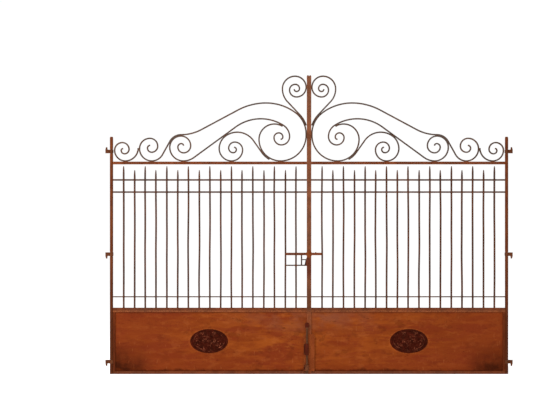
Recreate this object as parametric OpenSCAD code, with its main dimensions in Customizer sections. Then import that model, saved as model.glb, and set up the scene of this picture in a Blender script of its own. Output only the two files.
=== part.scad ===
// Double-leaf wrought iron driveway gate, hung on six wall brackets.
// Millimetres. +X runs along the closed gate, +Z is up, -Y is the inner
// face, towards which both leaves swing. The origin is the middle of the
// outer end face of the bottom left wall bracket.

/* [Gate] */
// Closed width over the two hanging stiles
gate_w = 4000; // [3400:10:4800]
// Gap between the two leaves where they meet
meeting_gap = 5; // [5:1:12]
// Height of the top rail's upper edge above the foot of the gate
top_rail_z = 2134; // [1800:1:2560]
// Height of the top rail's bar
top_rail_h = 26; // [16:1:34]
// Depth of the rails and the meeting stiles, front to back
frame_d = 24; // [20:1:40]
// Diameter of the round hanging stiles
stile_d = 30; // [24:1:40]
// How far the hanging stiles stand above the top rail
stile_rise = 250; // [160:5:320]
// Width of each meeting stile
meeting_w = 20; // [16:0.5:26]

/* [Picket field] */
// Number of pickets in each leaf, tall and short in turn
picket_n = 17; // [9:2:23]
// Width of the square picket bar
picket_w = 16; // [10:1:20]
// Depth of the rail the picket points rise from, below the top rail
points_rail_drop = 158; // [130:1:260]
// Depth of the second picket rail below the top rail
second_rail_drop = 280; // [200:1:500]
// Height of the thin low rail above the panel
low_rail_rise = 110; // [60:1:300]
// Height of the two upper picket rails' bar
picket_rail_h = 13; // [10:1:18]
// Height of the thin low rail's bar
low_rail_h = 9; // [8:1:14]
// Depth of the picket rails, front to back
picket_rail_d = 30; // [26:1:44]
// Clearance between a picket and its hole in a rail, each side
picket_clear = 0.3; // [0.2:0.1:1]
// Height of the tall pickets' tips below the top rail's lower edge
tall_drop = 22; // [10:1:60]
// Height of the short pickets' tips below the top rail's lower edge
short_drop = 60; // [40:1:120]

/* [Panel] */
// Height of the panel's top edge above the foot of the gate
panel_h = 666; // [560:2:700]
// Height of the panel's top rail
panel_rail_h = 44; // [30:1:60]
// Height of the bottom rail
bottom_rail_h = 30; // [20:1:50]
// Thickness of the panel's sheet
sheet_t = 3; // [2:0.5:6]
// Width of the flat bar between the hanging stile and the sheet
edge_flat_w = 24; // [18:1:40]
// Length of the oval casting in each panel
rosette_w = 380; // [260:5:480]
// Height of the oval casting
rosette_h = 242; // [180:2:320]
// Height of the oval casting's centre
rosette_z = 330; // [250:5:420]
// Width of the rim that laps over the sheet
rosette_rim = 12; // [6:1:20]
// Thickness of the casting in front of the sheet
rosette_t = 12; // [6:1:24]

/* [Scrollwork] */
// Width of the scroll bar as seen from the front
bar_t = 13; // [8:0.5:15]
// Depth of the scroll bar, front to back
bar_d = 16; // [10:1:24]

/* [Lock] */
// Height of the lock bar's middle above the foot of the gate
lock_z = 1206; // [1000:2:1400]
// Height of the lock bar and of the strike bar
lock_bar_h = 20; // [16:1:32]
// Height of the lock opening between the upper and the lower bar
lock_opening = 98; // [70:1:140]
// Height of the lower lock bar
lower_lock_bar_h = 12; // [8:1:20]
// Width of the diamond-shaped boss over both meeting stiles
boss_w = 66; // [56:1:90]
// Thickness of the lock parts that stand in front of the stiles
boss_t = 14; // [8:1:24]

/* [Foot bolt] */
// Diameter of the foot bolt's rod
bolt_d = 20; // [14:1:24]
// Travel of the foot bolt downwards
bolt_travel = 60; // [40:1:80]
// Height of the middle of the foot bolt's grip
grip_z = 492; // [460:1:520]
// Clearance round the rod in its guides
bolt_clear = 0.8; // [0.5:0.1:1.5]

/* [Wall brackets] */
// Height of the brackets' strap
strap_h = 36; // [30:1:50]
// Thickness of the strap's collar round the hanging stile
collar_t = 4.4; // [4:0.1:8]
// Running clearance between the hanging stile and its collars
stile_clear = 0.6; // [0.3:0.1:1]
// Thickness of the bracket's tail, front to back
tail_t = 14; // [10:1:20]
// Reach of the tail beyond the hanging stile's outer side
tail_reach = 46; // [30:1:90]
// Width of the bent end where it leaves the tail
hook_w = 21; // [18:1:28]
// Width of the bent end's tip
hook_tip = 12; // [8:1:16]
// How far the bent end reaches beyond the tail's edge
hook_drop = 26; // [16:1:40]
// Height of the bottom brackets' middle above the foot of the gate
bottom_bracket_z = 124; // [90:1:300]
// Height of the middle brackets' middle above the foot of the gate
middle_bracket_z = 1204; // [800:1:1500]
// Height of the top brackets' middle above the top rail
top_bracket_rise = 102; // [50:1:120]

/* [Hidden] */

// Colours
frame_rust = [0.44, 0.25, 0.16];
bar_rust = [0.40, 0.33, 0.29];
sheet_rust = [0.54, 0.24, 0.10];
cast_dark = [0.28, 0.11, 0.06];
bracket_dark = [0.36, 0.19, 0.12];

// Seat gap between pieces that touch, and where one bar lies along another
seat = 0.3;
lay_seat = 0.6;
// Room between a fixed piece and one that swings past it
swing_clear = 5;

// Places along a leaf, measured from its hinge axis
half_w = gate_w / 2 - stile_d / 2;
stile_r = stile_d / 2;
collar_r = stile_r + stile_clear + collar_t;
meet_out = half_w - meeting_gap / 2;
meet_in = meet_out - meeting_w;
rail_x = stile_r + seat;
rail_len = meet_in - rail_x;
flat_in = rail_x + edge_flat_w;
front_y = -frame_d / 2;

// Heights
top_rail_low = top_rail_z - top_rail_h;
points_rail_z = top_rail_low - points_rail_drop;
panel_low = panel_h - panel_rail_h;
top_bracket_z = top_rail_z + top_bracket_rise;
// The scrollwork is drawn for a leaf of this clear span and follows the leaf
pattern_span = 1978;
k = meet_in / pattern_span;
foot_z = top_rail_z + seat + bar_t / 2;
meeting_h = foot_z + k * 870;

// ---------------------------------------------------------------- outlines

// Point on a circle at an angle
function on(c, r, a) = c + r * [cos(a), sin(a)];

// Number of chords on an arc: none longer than 18 mm or wider than 15 degrees
function chords(r, sweep) = max(2, ceil(abs(sweep) / 15), ceil(PI * r * abs(sweep) / 180 / 18));

// One side of a bar bent along a chain of arcs [centre, radius, from, to]
function side(arcs, off) = [
    for (a = arcs)
        let (turn = sign(a[3] - a[2]), n = chords(a[1], a[3] - a[2]), r = a[1] - turn * off)
            for (i = [0 : n]) on(a[0], r, a[2] + (a[3] - a[2]) * i / n)
];

// The same list without points that repeat the one before
function no_repeats(pts) = [
    for (i = [0 : len(pts) - 1]) if (i == 0 || norm(pts[i] - pts[max(i - 1, 0)]) > 0.05) pts[i]
];

// The chain turned round, so that it runs from its other end
function reversed(arcs) = [
    for (i = [len(arcs) - 1 : -1 : 0]) [arcs[i][0], arcs[i][1], arcs[i][3], arcs[i][2]]
];

// Quarter turns of falling radius that start at p; a is the start's angle
// seen from the centre and s is 1 for left-hand turns, -1 for right-hand ones
function spiral(p, a, radii, s, i = 0) = i == len(radii) ? [] :
    let (c = p - radii[i] * [cos(a), sin(a)])
        concat([[c, radii[i], a, a + 90 * s]],
            spiral(on(c, radii[i], a + 90 * s), a + 90 * s, radii, s, i + 1));

// Heading of the straight that leaves circle 1 and meets circle 2 on its
// other side; s is 1 where the first turn is left-hand
function crossing(c1, r1, c2, r2, s) =
    let (d = c2 - c1) atan2(d[1], d[0]) + s * asin((r1 + r2) / norm(d));

// A bar bent along a chain of arcs, as a solid in the leaf's plane
module bent_bar(arcs) {
    left = no_repeats(side(arcs, bar_t / 2));
    right = no_repeats(side(arcs, -bar_t / 2));
    rotate([90, 0, 0]) linear_extrude(bar_d, center = true)
        polygon(concat(left, [for (i = [len(right) - 1 : -1 : 0]) right[i]]));
}

// A straight bar from x0 to x1 and z0 to z1, in the middle of the leaf
module bar(x0, x1, z0, z1, depth) {
    translate([x0, -depth / 2, z0]) cube([x1 - x0, depth, z1 - z0]);
}

// Oval outline with half axes a and b
module oval(a, b) {
    polygon([for (i = [0 : 59]) [a * cos(6 * i), b * sin(6 * i)]]);
}

// ------------------------------------------------------------ leaf to gate

// Place of the hinge axis of a leaf, seen from the origin
axis_x = tail_reach + stile_r;
span_x = axis_x + half_w;

module on_left() {
    translate([axis_x, 0, -bottom_bracket_z]) children();
}

module on_right() {
    translate([2 * span_x, 0, 0]) mirror([1, 0, 0]) on_left() children();
}

// ------------------------------------------------------------ wall brackets

// Strap round the hanging stile with a tail and a bent, tapered end for the
// wall; up is 1 where the end is bent upwards, -1 where it is bent downwards
module bracket(z, up) {
    tail_end = -stile_r - tail_reach;
    edge = strap_h / 2;
    tip = edge + hook_drop;
    lean = (hook_w - hook_tip) * 0.7;
    color(bracket_dark) translate([0, 0, z]) difference() {
        union() {
            translate([0, 0, -edge]) cylinder(h = strap_h, r = collar_r, $fn = 64);
            translate([tail_end, 0, 0]) rotate([90, 0, 0]) linear_extrude(tail_t, center = true)
                polygon([[0, -up * edge], [-tail_end - stile_r, -up * edge],
                    [-tail_end - stile_r, up * edge], [hook_w, up * edge],
                    [lean + hook_tip, up * tip], [lean, up * tip], [0, up * edge]]);
        }
        translate([0, 0, -strap_h])
            cylinder(h = 2 * strap_h, r = stile_r + stile_clear, $fn = 64);
    }
}

// ------------------------------------------------------------ frame of a leaf

module hanging_stile() {
    h = top_rail_z + stile_rise;
    color(frame_rust) union() {
        cylinder(h = h - 4, r = stile_r, $fn = 64);
        translate([0, 0, h - 4]) cylinder(h = 4, r1 = stile_r, r2 = stile_r - 4, $fn = 64);
    }
}

// Bevelled on the side of the gap, so that the two stiles form a notch
module meeting_stile() {
    notch = meeting_w / 2;
    color(frame_rust) rotate([90, 0, 0]) linear_extrude(frame_d, center = true)
        polygon([[meet_in, 0], [meet_out, 0], [meet_out, meeting_h - notch],
            [meet_out - notch, meeting_h], [meet_in, meeting_h]]);
}

module top_rail() {
    color(frame_rust) bar(rail_x, meet_in, top_rail_low, top_rail_z, frame_d);
}

// ------------------------------------------------------------ picket field

function picket_x(i) = rail_x + rail_len * (i + 1) / (picket_n + 1);

// Rails with a square hole for each picket
module picket_rails() {
    hole = picket_w + 2 * picket_clear;
    rails = [[points_rail_z, picket_rail_h], [top_rail_low - second_rail_drop, picket_rail_h],
        [panel_h + low_rail_rise, low_rail_h]];
    color(bar_rust) for (rail = rails)
        translate([0, 0, rail[0]]) linear_extrude(rail[1], center = true) difference() {
            translate([rail_x, -picket_rail_d / 2]) square([rail_len, picket_rail_d]);
            for (i = [0 : picket_n - 1])
                translate([picket_x(i) - hole / 2, -hole / 2]) square(hole);
        }
}

// A square bar that tapers to a point from the upper picket rail on
module picket(x, tip) {
    shoulder = points_rail_z + picket_rail_h / 2 + seat;
    translate([x, 0, 0]) rotate([90, 0, 0]) linear_extrude(picket_w, center = true)
        polygon([[-picket_w / 2, panel_h], [picket_w / 2, panel_h], [picket_w / 2, shoulder],
            [1.5, tip], [-1.5, tip], [-picket_w / 2, shoulder]]);
}

module tall_pickets() {
    color(bar_rust) for (i = [0 : 2 : picket_n - 1]) picket(picket_x(i), top_rail_low - tall_drop);
}

module short_pickets() {
    color(bar_rust) for (i = [1 : 2 : picket_n - 2]) picket(picket_x(i), top_rail_low - short_drop);
}

// ------------------------------------------------------------ panel

module panel_rails() {
    color(frame_rust) {
        bar(rail_x, meet_in, panel_low, panel_h, frame_d);
        bar(rail_x, meet_in, 0, bottom_rail_h, frame_d);
    }
}

// Flat bar beside the hanging stile, cut away round the bottom collar
module edge_flat() {
    notch_h = strap_h + 2 * swing_clear;
    color(frame_rust) difference() {
        bar(rail_x, flat_in, bottom_rail_h, panel_low, frame_d);
        translate([0, -frame_d, bottom_bracket_z - notch_h / 2])
            cube([collar_r + swing_clear, 2 * frame_d, notch_h]);
    }
}

rosette_x = meet_in / 2;

module sheet() {
    color(sheet_rust) rotate([90, 0, 0]) linear_extrude(sheet_t, center = true) difference() {
        translate([flat_in, bottom_rail_h])
            square([meet_in - flat_in, panel_low - bottom_rail_h]);
        translate([rosette_x, rosette_z]) oval(rosette_w / 2 - rosette_rim + seat,
            rosette_h / 2 - rosette_rim + seat);
    }
}

// Casting through the sheet's oval hole: a rim on the inner face and a body
// that shows on both faces
module rosette() {
    body_a = rosette_w / 2 - rosette_rim;
    body_b = rosette_h / 2 - rosette_rim;
    color(cast_dark) translate([rosette_x, 0, rosette_z]) rotate([90, 0, 0]) {
        translate([0, 0, sheet_t / 2]) linear_extrude(rosette_t) oval(rosette_w / 2, rosette_h / 2);
        translate([0, 0, -sheet_t / 2 - rosette_t / 2])
            linear_extrude(sheet_t + rosette_t / 2) oval(body_a, body_b);
    }
}

// ------------------------------------------------------------ scrollwork

// Bar next to the hanging stile, clear of the top bracket's collar
end_foot = collar_r + swing_clear + bar_t / 2 + 108 * k;
second_foot = 408 * k;
second_left = second_foot - 124 * k;

module end_scroll() {
    foot = [end_foot, foot_z];
    tail_r = second_left - bar_t - seat - end_foot;
    coil = spiral(foot, -90, k * [108, 78, 68, 46, 34, 20], -1);
    tail = spiral(foot, -90, [tail_r], 1);
    color(bar_rust) bent_bar(concat(reversed(coil), tail));
}

// Coil of the long scroll; the second scroll's tail lies on its shoulder
long_foot = [728 * k, foot_z];
long_coil = spiral(long_foot, -90, k * [138, 114, 98, 72, 58, 36, 22], -1);
shoulder_c = long_coil[1][0];
shoulder_r = long_coil[1][1] + bar_t + lay_seat;

module second_scroll() {
    foot = [second_foot, foot_z];
    turn_r = 124 * k;
    turn_c = foot + [0, turn_r];
    h = crossing(turn_c, turn_r, shoulder_c, shoulder_r, 1);
    coil = spiral(foot, -90, k * [124, 105, 79, 62, 42, 28], -1);
    color(bar_rust) bent_bar(concat(reversed(coil),
        [[turn_c, turn_r, -90, h - 90], [shoulder_c, shoulder_r, h + 90, 90]]));
}

// Dome over the long scroll's inner end
dome_r = 430 * k;
dome_c = [1512 * k, foot_z + 427 * k - dome_r];
dome_fall = 32;
rise_r = 181 * k;
rise_c = long_foot + [0, rise_r];
rise_h = crossing(rise_c, rise_r, dome_c, dome_r, 1);

module long_scroll() {
    end_r = 136 * k;
    end_c = on(dome_c, dome_r - end_r, 90 - dome_fall);
    inner = spiral(on(end_c, end_r, 0), 0, k * [84, 74, 48, 42, 24], -1);
    color(bar_rust) bent_bar(concat(reversed(long_coil),
        [[rise_c, rise_r, -90, rise_h - 90], [dome_c, dome_r, rise_h + 90, 90 - dome_fall],
            [end_c, end_r, 90 - dome_fall, 0]], inner));
}

// Loop of the crest bar round the long scroll's inner end
touch_x = meet_in - seat - bar_t / 2;
loop_left_r = 218 * k;
loop_mid_z = foot_z + loop_left_r;
loop_end_r = dome_r - bar_t - seat - (loop_mid_z - dome_c[1]) / cos(dome_fall);
loop_end_c = on(dome_c, dome_r - bar_t - seat - loop_end_r, 90 - dome_fall);
loop_foot_x = loop_end_c[0] - loop_end_r + loop_left_r;
loop_c = [loop_foot_x, loop_mid_z];

// Dome of the crest bar, wider on its outer flank, and its fall to the
// meeting stile
crest_top = [1566 * k, foot_z + 587 * k];
flank_r = 605 * k;
flank_c = crest_top - [0, flank_r];
crest_r = 500 * k;
crest_c = crest_top - [0, crest_r];
crest_fall = 36;
fall_start = on(crest_c, crest_r, 90 - crest_fall);
fall_r = (touch_x - fall_start[0]) / (1 - sin(crest_fall));
fall_c = [touch_x - fall_r, fall_start[1] - fall_r * cos(crest_fall)];

// It starts on the shoulder of the long scroll, butted to the second scroll
module crest_bar() {
    dip_r = 437 * k;
    dip_c = shoulder_c + [seat, shoulder_r + dip_r];
    h = crossing(dip_c, dip_r, flank_c, flank_r, 1);
    loop_r = touch_x - loop_foot_x;
    color(bar_rust) bent_bar([[dip_c, dip_r, -90, h - 90], [flank_c, flank_r, h + 90, 90],
        [crest_c, crest_r, 90, 90 - crest_fall], [fall_c, fall_r, 90 - crest_fall, 0], [[loop_foot_x, foot_z + loop_r], loop_r, 0, -90],
        [loop_c, loop_left_r, -90, -180], [loop_end_c, loop_end_r, -180, -270 - dome_fall]]);
}

// Scroll under the long scroll's straight, its tail laid along the loop
module middle_scroll() {
    left_r = 125 * k;
    brow_r = 158 * k;
    back_r = 200 * k;
    mid_z = foot_z + left_r;
    start = on(rise_c, rise_r, rise_h - 90);
    brow_x = start[0] + (brow_r + bar_t + seat + (mid_z - start[1]) * cos(rise_h)) / sin(rise_h);
    brow_c = [brow_x, mid_z];
    back_c = on(brow_c, brow_r - back_r, rise_h + 90);
    lay_r = loop_left_r + bar_t + lay_seat;
    h = crossing(back_c, back_r, loop_c, lay_r, -1);
    foot = [brow_x - brow_r + left_r, foot_z];
    coil = spiral(foot, -90, k * [112, 79, 62, 46, 32, 24], 1);
    color(bar_rust) bent_bar(concat(reversed(coil), [[[foot[0], mid_z], left_r, -90, -180],
        [brow_c, brow_r, 180, rise_h + 90], [back_c, back_r, rise_h + 90, h + 90],
        [loop_c, lay_r, h - 90, h - 80]]));
}

// Half of the heart at the top, against the meeting stile
module top_scroll() {
    touch = [touch_x, foot_z + 746 * k];
    outer = spiral(touch, 0, k * [112, 128], 1);
    inner = spiral(touch, 0, k * [98, 70, 58, 43, 30, 24], -1);
    drop_r = 190 * k;
    drop_c = on(outer[1][0], outer[1][1] - drop_r, 180);
    lay_r = fall_r + bar_t + lay_seat;
    h = crossing(drop_c, drop_r, fall_c, lay_r, 1);
    lay_end = acos((fall_r + bar_t / 2) / (lay_r + bar_t / 2));
    color(bar_rust) bent_bar(concat(reversed(inner), outer,
        [[drop_c, drop_r, 180, h + 270], [fall_c, lay_r, h + 90, lay_end]]));
}

// ------------------------------------------------------------ lock

// Flat plate on the inner face beside the gap, behind the foot bolt; the
// bolt's grip stops just above it
grip_w = 38;
grip_h = 47;
grip_d = 20;
plate_t = 4;
plate_in = half_w - 54;
plate_top = grip_z - grip_h / 2 - bolt_travel - swing_clear;

module bolt_plate() {
    color(frame_rust) translate([plate_in, front_y - plate_t, bottom_rail_h])
        cube([meet_out - plate_in, plate_t, plate_top - bottom_rail_h]);
}

// Half of the diamond-shaped boss, on the inner face of the meeting stile
module boss() {
    a = boss_w / 2;
    shoulder = a * 0.55;
    color(frame_rust) translate([0, front_y, lock_z]) rotate([90, 0, 0]) linear_extrude(boss_t)
        polygon([[meet_out, -a], [meet_out, a], [meet_in, shoulder], [half_w - a, 0], [meet_in, -shoulder]]);
}

// Upper and lower bar of the lock opening with the upright between them;
// they reach from the meeting stile to the second picket
lock_high = lock_z + lock_bar_h / 2;
lock_low = lock_z - lock_bar_h / 2;
opening_low = lock_low - lock_opening;
lock_foot = opening_low - lower_lock_bar_h;
lock_end = meet_in - seat;
upright_w = 14;
upright_x = meet_in - 46 - upright_w;

module lock_bars() {
    hole = picket_w + 2 * picket_clear;
    last_picket = picket_x(picket_n - 1);
    from_x = picket_x(picket_n - 2) + hole / 2;
    color(frame_rust) difference() {
        union() {
            bar(from_x, lock_end, lock_low, lock_high, frame_d);
            bar(from_x, lock_end, lock_foot, opening_low, frame_d);
            bar(upright_x, upright_x + upright_w, lock_foot, lock_z, frame_d);
        }
        bar(last_picket - hole / 2, last_picket + hole / 2, lock_foot - 1, lock_high + 1, hole);
    }
}

// What is left of the latch: the lock's face plate on the meeting stile, a
// thin bar across the opening and a leaning lever
module latch() {
    rod_h = 10;
    rod_z = opening_low + 46;
    lever_w = 12;
    plate_w = 26;
    plate_t = 3;
    color(bracket_dark) {
        bar(upright_x + upright_w + seat, lock_end, rod_z, rod_z + rod_h, rod_h);
        rotate([90, 0, 0]) linear_extrude(rod_h, center = true)
            polygon([[lock_end - 22, opening_low + seat], [lock_end - 22 + lever_w, opening_low + seat],
                [lock_end, rod_z - seat], [lock_end - lever_w, rod_z - seat]]);
        translate([meet_out - plate_w, front_y - plate_t, opening_low - lower_lock_bar_h])
            cube([plate_w, plate_t, lock_opening + lower_lock_bar_h - boss_w / 2]);
    }
}

// Bar from the right meeting stile to the first picket, level with the
// lock, with the stub of a keeper on it
module strike_bar() {
    from_x = picket_x(picket_n - 1) + picket_w / 2 + picket_clear;
    keeper_x = meet_in - 52;
    keeper_w = 14;
    color(frame_rust) rotate([90, 0, 0]) linear_extrude(frame_d, center = true)
        polygon([[from_x, lock_low], [lock_end, lock_low], [lock_end, lock_high],
            [keeper_x + keeper_w, lock_high], [keeper_x + keeper_w / 2, lock_high + keeper_w / 2],
            [keeper_x, lock_high], [from_x, lock_high]]);
}

// ------------------------------------------------------------ foot bolt

// Walls of the two guides round the rod, and where the rod runs
guide_wall = 4;
bolt_x = meet_out - grip_w / 2;
bolt_y = front_y - plate_t - guide_wall - bolt_d / 2;
bolt_foot = 3;
// Lower and upper edge of each guide
low_guide = [34, 94];
high_guide = [193, 307];

module bolt_guides() {
    guide_d = bolt_d + 2 * guide_wall;
    color(bracket_dark) difference() {
        for (g = [low_guide, high_guide])
            translate([bolt_x - grip_w / 2, front_y - plate_t - guide_d, g[0]])
                cube([grip_w, guide_d, g[1] - g[0]]);
        translate([bolt_x, bolt_y, 0])
            cylinder(h = plate_top, r = bolt_d / 2 + bolt_clear, $fn = 48);
    }
}

module foot_bolt() {
    color(bracket_dark) union() {
        translate([bolt_x, bolt_y, bolt_foot]) cylinder(h = grip_z - bolt_foot, r = bolt_d / 2, $fn = 48);
        translate([bolt_x - grip_w / 2, bolt_y - grip_d / 2, grip_z - grip_h / 2])
            cube([grip_w, grip_d, grip_h]);
    }
}

// ------------------------------------------------------------ nodes

on_left() bracket(top_bracket_z, 1);  // left_top_bracket
on_left() bracket(middle_bracket_z, -1);  // left_middle_bracket
on_left() bracket(bottom_bracket_z, -1);  // left_bottom_bracket
on_right() bracket(top_bracket_z, 1);  // right_top_bracket
on_right() bracket(middle_bracket_z, -1);  // right_middle_bracket
on_right() bracket(bottom_bracket_z, -1);  // right_bottom_bracket

on_left() hanging_stile();  // left_hanging_stile
on_left() meeting_stile();  // left_meeting_stile
on_left() top_rail();  // left_top_rail
on_left() picket_rails();  // left_picket_rails
on_left() tall_pickets();  // left_tall_pickets
on_left() short_pickets();  // left_short_pickets
on_left() panel_rails();  // left_panel_rails
on_left() edge_flat();  // left_edge_flat
on_left() sheet();  // left_sheet
on_left() rosette();  // left_rosette
on_left() bolt_plate();  // left_bolt_plate
on_left() boss();  // left_boss
on_left() end_scroll();  // left_end_scroll
on_left() second_scroll();  // left_second_scroll
on_left() long_scroll();  // left_long_scroll
on_left() middle_scroll();  // left_middle_scroll
on_left() crest_bar();  // left_crest_bar
on_left() top_scroll();  // left_top_scroll
on_left() lock_bars();
on_left() latch();
on_left() bolt_guides();
on_left() foot_bolt();

on_right() hanging_stile();  // right_hanging_stile
on_right() meeting_stile();  // right_meeting_stile
on_right() top_rail();  // right_top_rail
on_right() picket_rails();  // right_picket_rails
on_right() tall_pickets();  // right_tall_pickets
on_right() short_pickets();  // right_short_pickets
on_right() panel_rails();  // right_panel_rails
on_right() edge_flat();  // right_edge_flat
on_right() sheet();  // right_sheet
on_right() rosette();  // right_rosette
on_right() bolt_plate();  // right_bolt_plate
on_right() boss();  // right_boss
on_right() end_scroll();  // right_end_scroll
on_right() second_scroll();  // right_second_scroll
on_right() long_scroll();  // right_long_scroll
on_right() middle_scroll();  // right_middle_scroll
on_right() crest_bar();  // right_crest_bar
on_right() top_scroll();  // right_top_scroll
on_right() strike_bar();
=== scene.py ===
"""Double-leaf driveway gate of rusted wrought iron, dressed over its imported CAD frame.

Each leaf has a frame of forged bars, a field of pointed pickets, a sheet panel with an oval
casting, and a crest of scrolls. Lengths in the classes are millimetres on the leaf: x runs from
the hinge axis to the meeting side, y from the inner face (negative) to the street, and z up from
the foot of the gate. Meshes are metres in the row's frame.
"""

import logging
import math
from dataclasses import dataclass
from enum import Enum
from typing import Any, Callable, Sequence

import bmesh
import bpy
import numpy as np
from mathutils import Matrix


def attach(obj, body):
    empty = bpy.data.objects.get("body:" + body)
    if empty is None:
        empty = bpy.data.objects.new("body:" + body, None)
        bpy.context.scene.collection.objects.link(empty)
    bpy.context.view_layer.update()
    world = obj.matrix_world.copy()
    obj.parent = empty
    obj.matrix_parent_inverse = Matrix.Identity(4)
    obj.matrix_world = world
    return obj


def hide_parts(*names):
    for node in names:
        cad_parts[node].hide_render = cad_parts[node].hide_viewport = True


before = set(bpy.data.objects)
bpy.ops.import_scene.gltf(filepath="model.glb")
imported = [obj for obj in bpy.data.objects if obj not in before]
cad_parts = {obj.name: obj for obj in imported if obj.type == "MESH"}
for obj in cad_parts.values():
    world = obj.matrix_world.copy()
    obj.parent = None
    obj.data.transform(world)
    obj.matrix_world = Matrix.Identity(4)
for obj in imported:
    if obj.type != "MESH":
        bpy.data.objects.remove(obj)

LOG = logging.getLogger("gate")
MM = 0.001
Arc = tuple[tuple[float, float], float, float, float]
Chain = list[Arc]
Colour = tuple[int, int, int]


# ------------------------------------------------------------------ sizes and frames


class Side(Enum):
    """Which leaf a piece belongs to, seen from the inner face."""

    LEFT = "left"
    RIGHT = "right"


@dataclass(frozen=True)
class GateSizes:
    """Sizes that the sub-assemblies share, in millimetres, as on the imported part."""

    axis_x: float = 61.0
    full_w: float = 4092.0
    foot_drop: float = 124.0
    half_w: float = 1985.0
    meet_out: float = 1982.5
    meet_in: float = 1962.5
    stile_r: float = 15.0
    rail_x: float = 15.3
    frame_d: float = 24.0
    top_rail_low: float = 2108.0
    top_rail_high: float = 2134.0
    panel_low: float = 622.0
    panel_high: float = 666.0
    bottom_rail_h: float = 30.0
    bar_t: float = 13.0
    bar_d: float = 16.0
    seat: float = 0.3
    lay_seat: float = 0.6
    gap_half: float = 0.25
    front: float = -44.0
    back: float = 19.9
    crest_top: float = 3003.9
    collars: tuple[float, float, float] = (124.0, 1204.0, 2236.0)

    @property
    def k(self) -> float:
        """Scale of the scroll pattern on this leaf."""
        return self.meet_in / 1978.0

    @property
    def foot_z(self) -> float:
        """Height of a scroll bar's middle where it stands on the top rail."""
        return self.top_rail_high + self.seat + self.bar_t / 2


S = GateSizes()


def to_row(points: np.ndarray, side: Side) -> np.ndarray:
    """Turn leaf millimetres into row metres.

    Args:
        points: An array of x, y, z rows on the leaf.
        side: The leaf; the right one is the left one's mirror image.

    Returns:
        The same rows in the row's frame, in metres.
    """
    out = np.array(points, dtype=float).reshape(-1, 3)
    out[:, 0] = np.clip(out[:, 0], -S.axis_x, S.half_w - S.gap_half)
    out[:, 1] = np.clip(out[:, 1], S.front, S.back)
    out[:, 2] = np.clip(out[:, 2], 0.0, S.crest_top)
    out[:, 0] += S.axis_x
    if side is Side.RIGHT:
        out[:, 0] = S.full_w - out[:, 0]
    out[:, 2] -= S.foot_drop
    return out * MM


def ripple(points: np.ndarray, amount: float, pitch: float, seed: int) -> np.ndarray:
    """Smooth, repeatable unevenness for hammered and rusted iron.

    Args:
        points: Rows of x, y, z.
        amount: Greatest offset.
        pitch: Typical length of a ripple, in the unit of the points.
        seed: Fixed seed, so that each run gives the same piece.

    Returns:
        An offset for each row, in three directions.
    """
    rng = np.random.default_rng(seed)
    out = np.zeros_like(points)
    for _ in range(5):
        wave = rng.normal(size=3)
        wave *= 2 * math.pi / (pitch * rng.uniform(0.6, 1.8)) / np.linalg.norm(wave)
        phase = points @ wave
        for axis in range(3):
            out[:, axis] += np.sin(phase + rng.uniform(0, 6.28))
    return out * amount / 5


# ------------------------------------------------------------------ node trees


class TreeBuilder:
    """Builds a node group with named sockets, for shapes or for finishes."""

    def __init__(self, name: str, kind: str) -> None:
        """Start an empty group.

        Args:
            name: Name of the group.
            kind: Either GeometryNodeTree or ShaderNodeTree.
        """
        self.tree = bpy.data.node_groups.new(name, kind)
        self.entry = self.tree.nodes.new("NodeGroupInput")
        self.exit = self.tree.nodes.new("NodeGroupOutput")

    def takes(self, name: str, kind: str, value: Any = None) -> str:
        """Add a named input.

        Args:
            name: Label of the socket.
            kind: Socket type, such as NodeSocketFloat.
            value: Default value, if it has one.

        Returns:
            The socket's identifier.
        """
        made = self.tree.interface.new_socket(name=name, in_out="INPUT", socket_type=kind)
        if value is not None:
            made.default_value = value
        return made.identifier

    def gives(self, name: str, kind: str, source: bpy.types.NodeSocket) -> None:
        """Add a named output that a socket feeds."""
        self.tree.interface.new_socket(name=name, in_out="OUTPUT", socket_type=kind)
        self.tree.links.new(source, self.exit.inputs[name])

    def get(self, name: str) -> bpy.types.NodeSocket:
        """The group's own input of that name, as a source."""
        return self.entry.outputs[name]

    def add(self, kind: str, inputs: dict | None = None, **props: Any) -> bpy.types.Node:
        """Add a node, set its properties and feed its sockets."""
        return add_node(self.tree, kind, inputs, **props)

    def maths(self, op: str, a: Any, b: Any = 0.0) -> bpy.types.NodeSocket:
        """A Math node's result."""
        return self.add("ShaderNodeMath", {0: a, 1: b}, operation=op).outputs[0]

    def remap(self, value: Any, low: Any, high: Any, to_low: Any, to_high: Any) -> bpy.types.NodeSocket:
        """A value moved smoothly from one range to another."""
        made = self.add("ShaderNodeMapRange", {0: value, 1: low, 2: high, 3: to_low, 4: to_high},
                        interpolation_type="SMOOTHSTEP")
        return made.outputs[0]


def add_node(tree: bpy.types.NodeTree, kind: str, inputs: dict | None = None,
             **props: Any) -> bpy.types.Node:
    """Add a node to a tree.

    Args:
        tree: Where the node goes.
        kind: The node's type name.
        inputs: Socket name or number to a value or to another node's socket.
        **props: The node's own properties.

    Returns:
        The new node.
    """
    node = tree.nodes.new(kind)
    for key, value in props.items():
        setattr(node, key, value)
    for key, value in (inputs or {}).items():
        if isinstance(value, bpy.types.NodeSocket):
            tree.links.new(value, node.inputs[key])
        else:
            node.inputs[key].default_value = value
    return node


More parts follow.
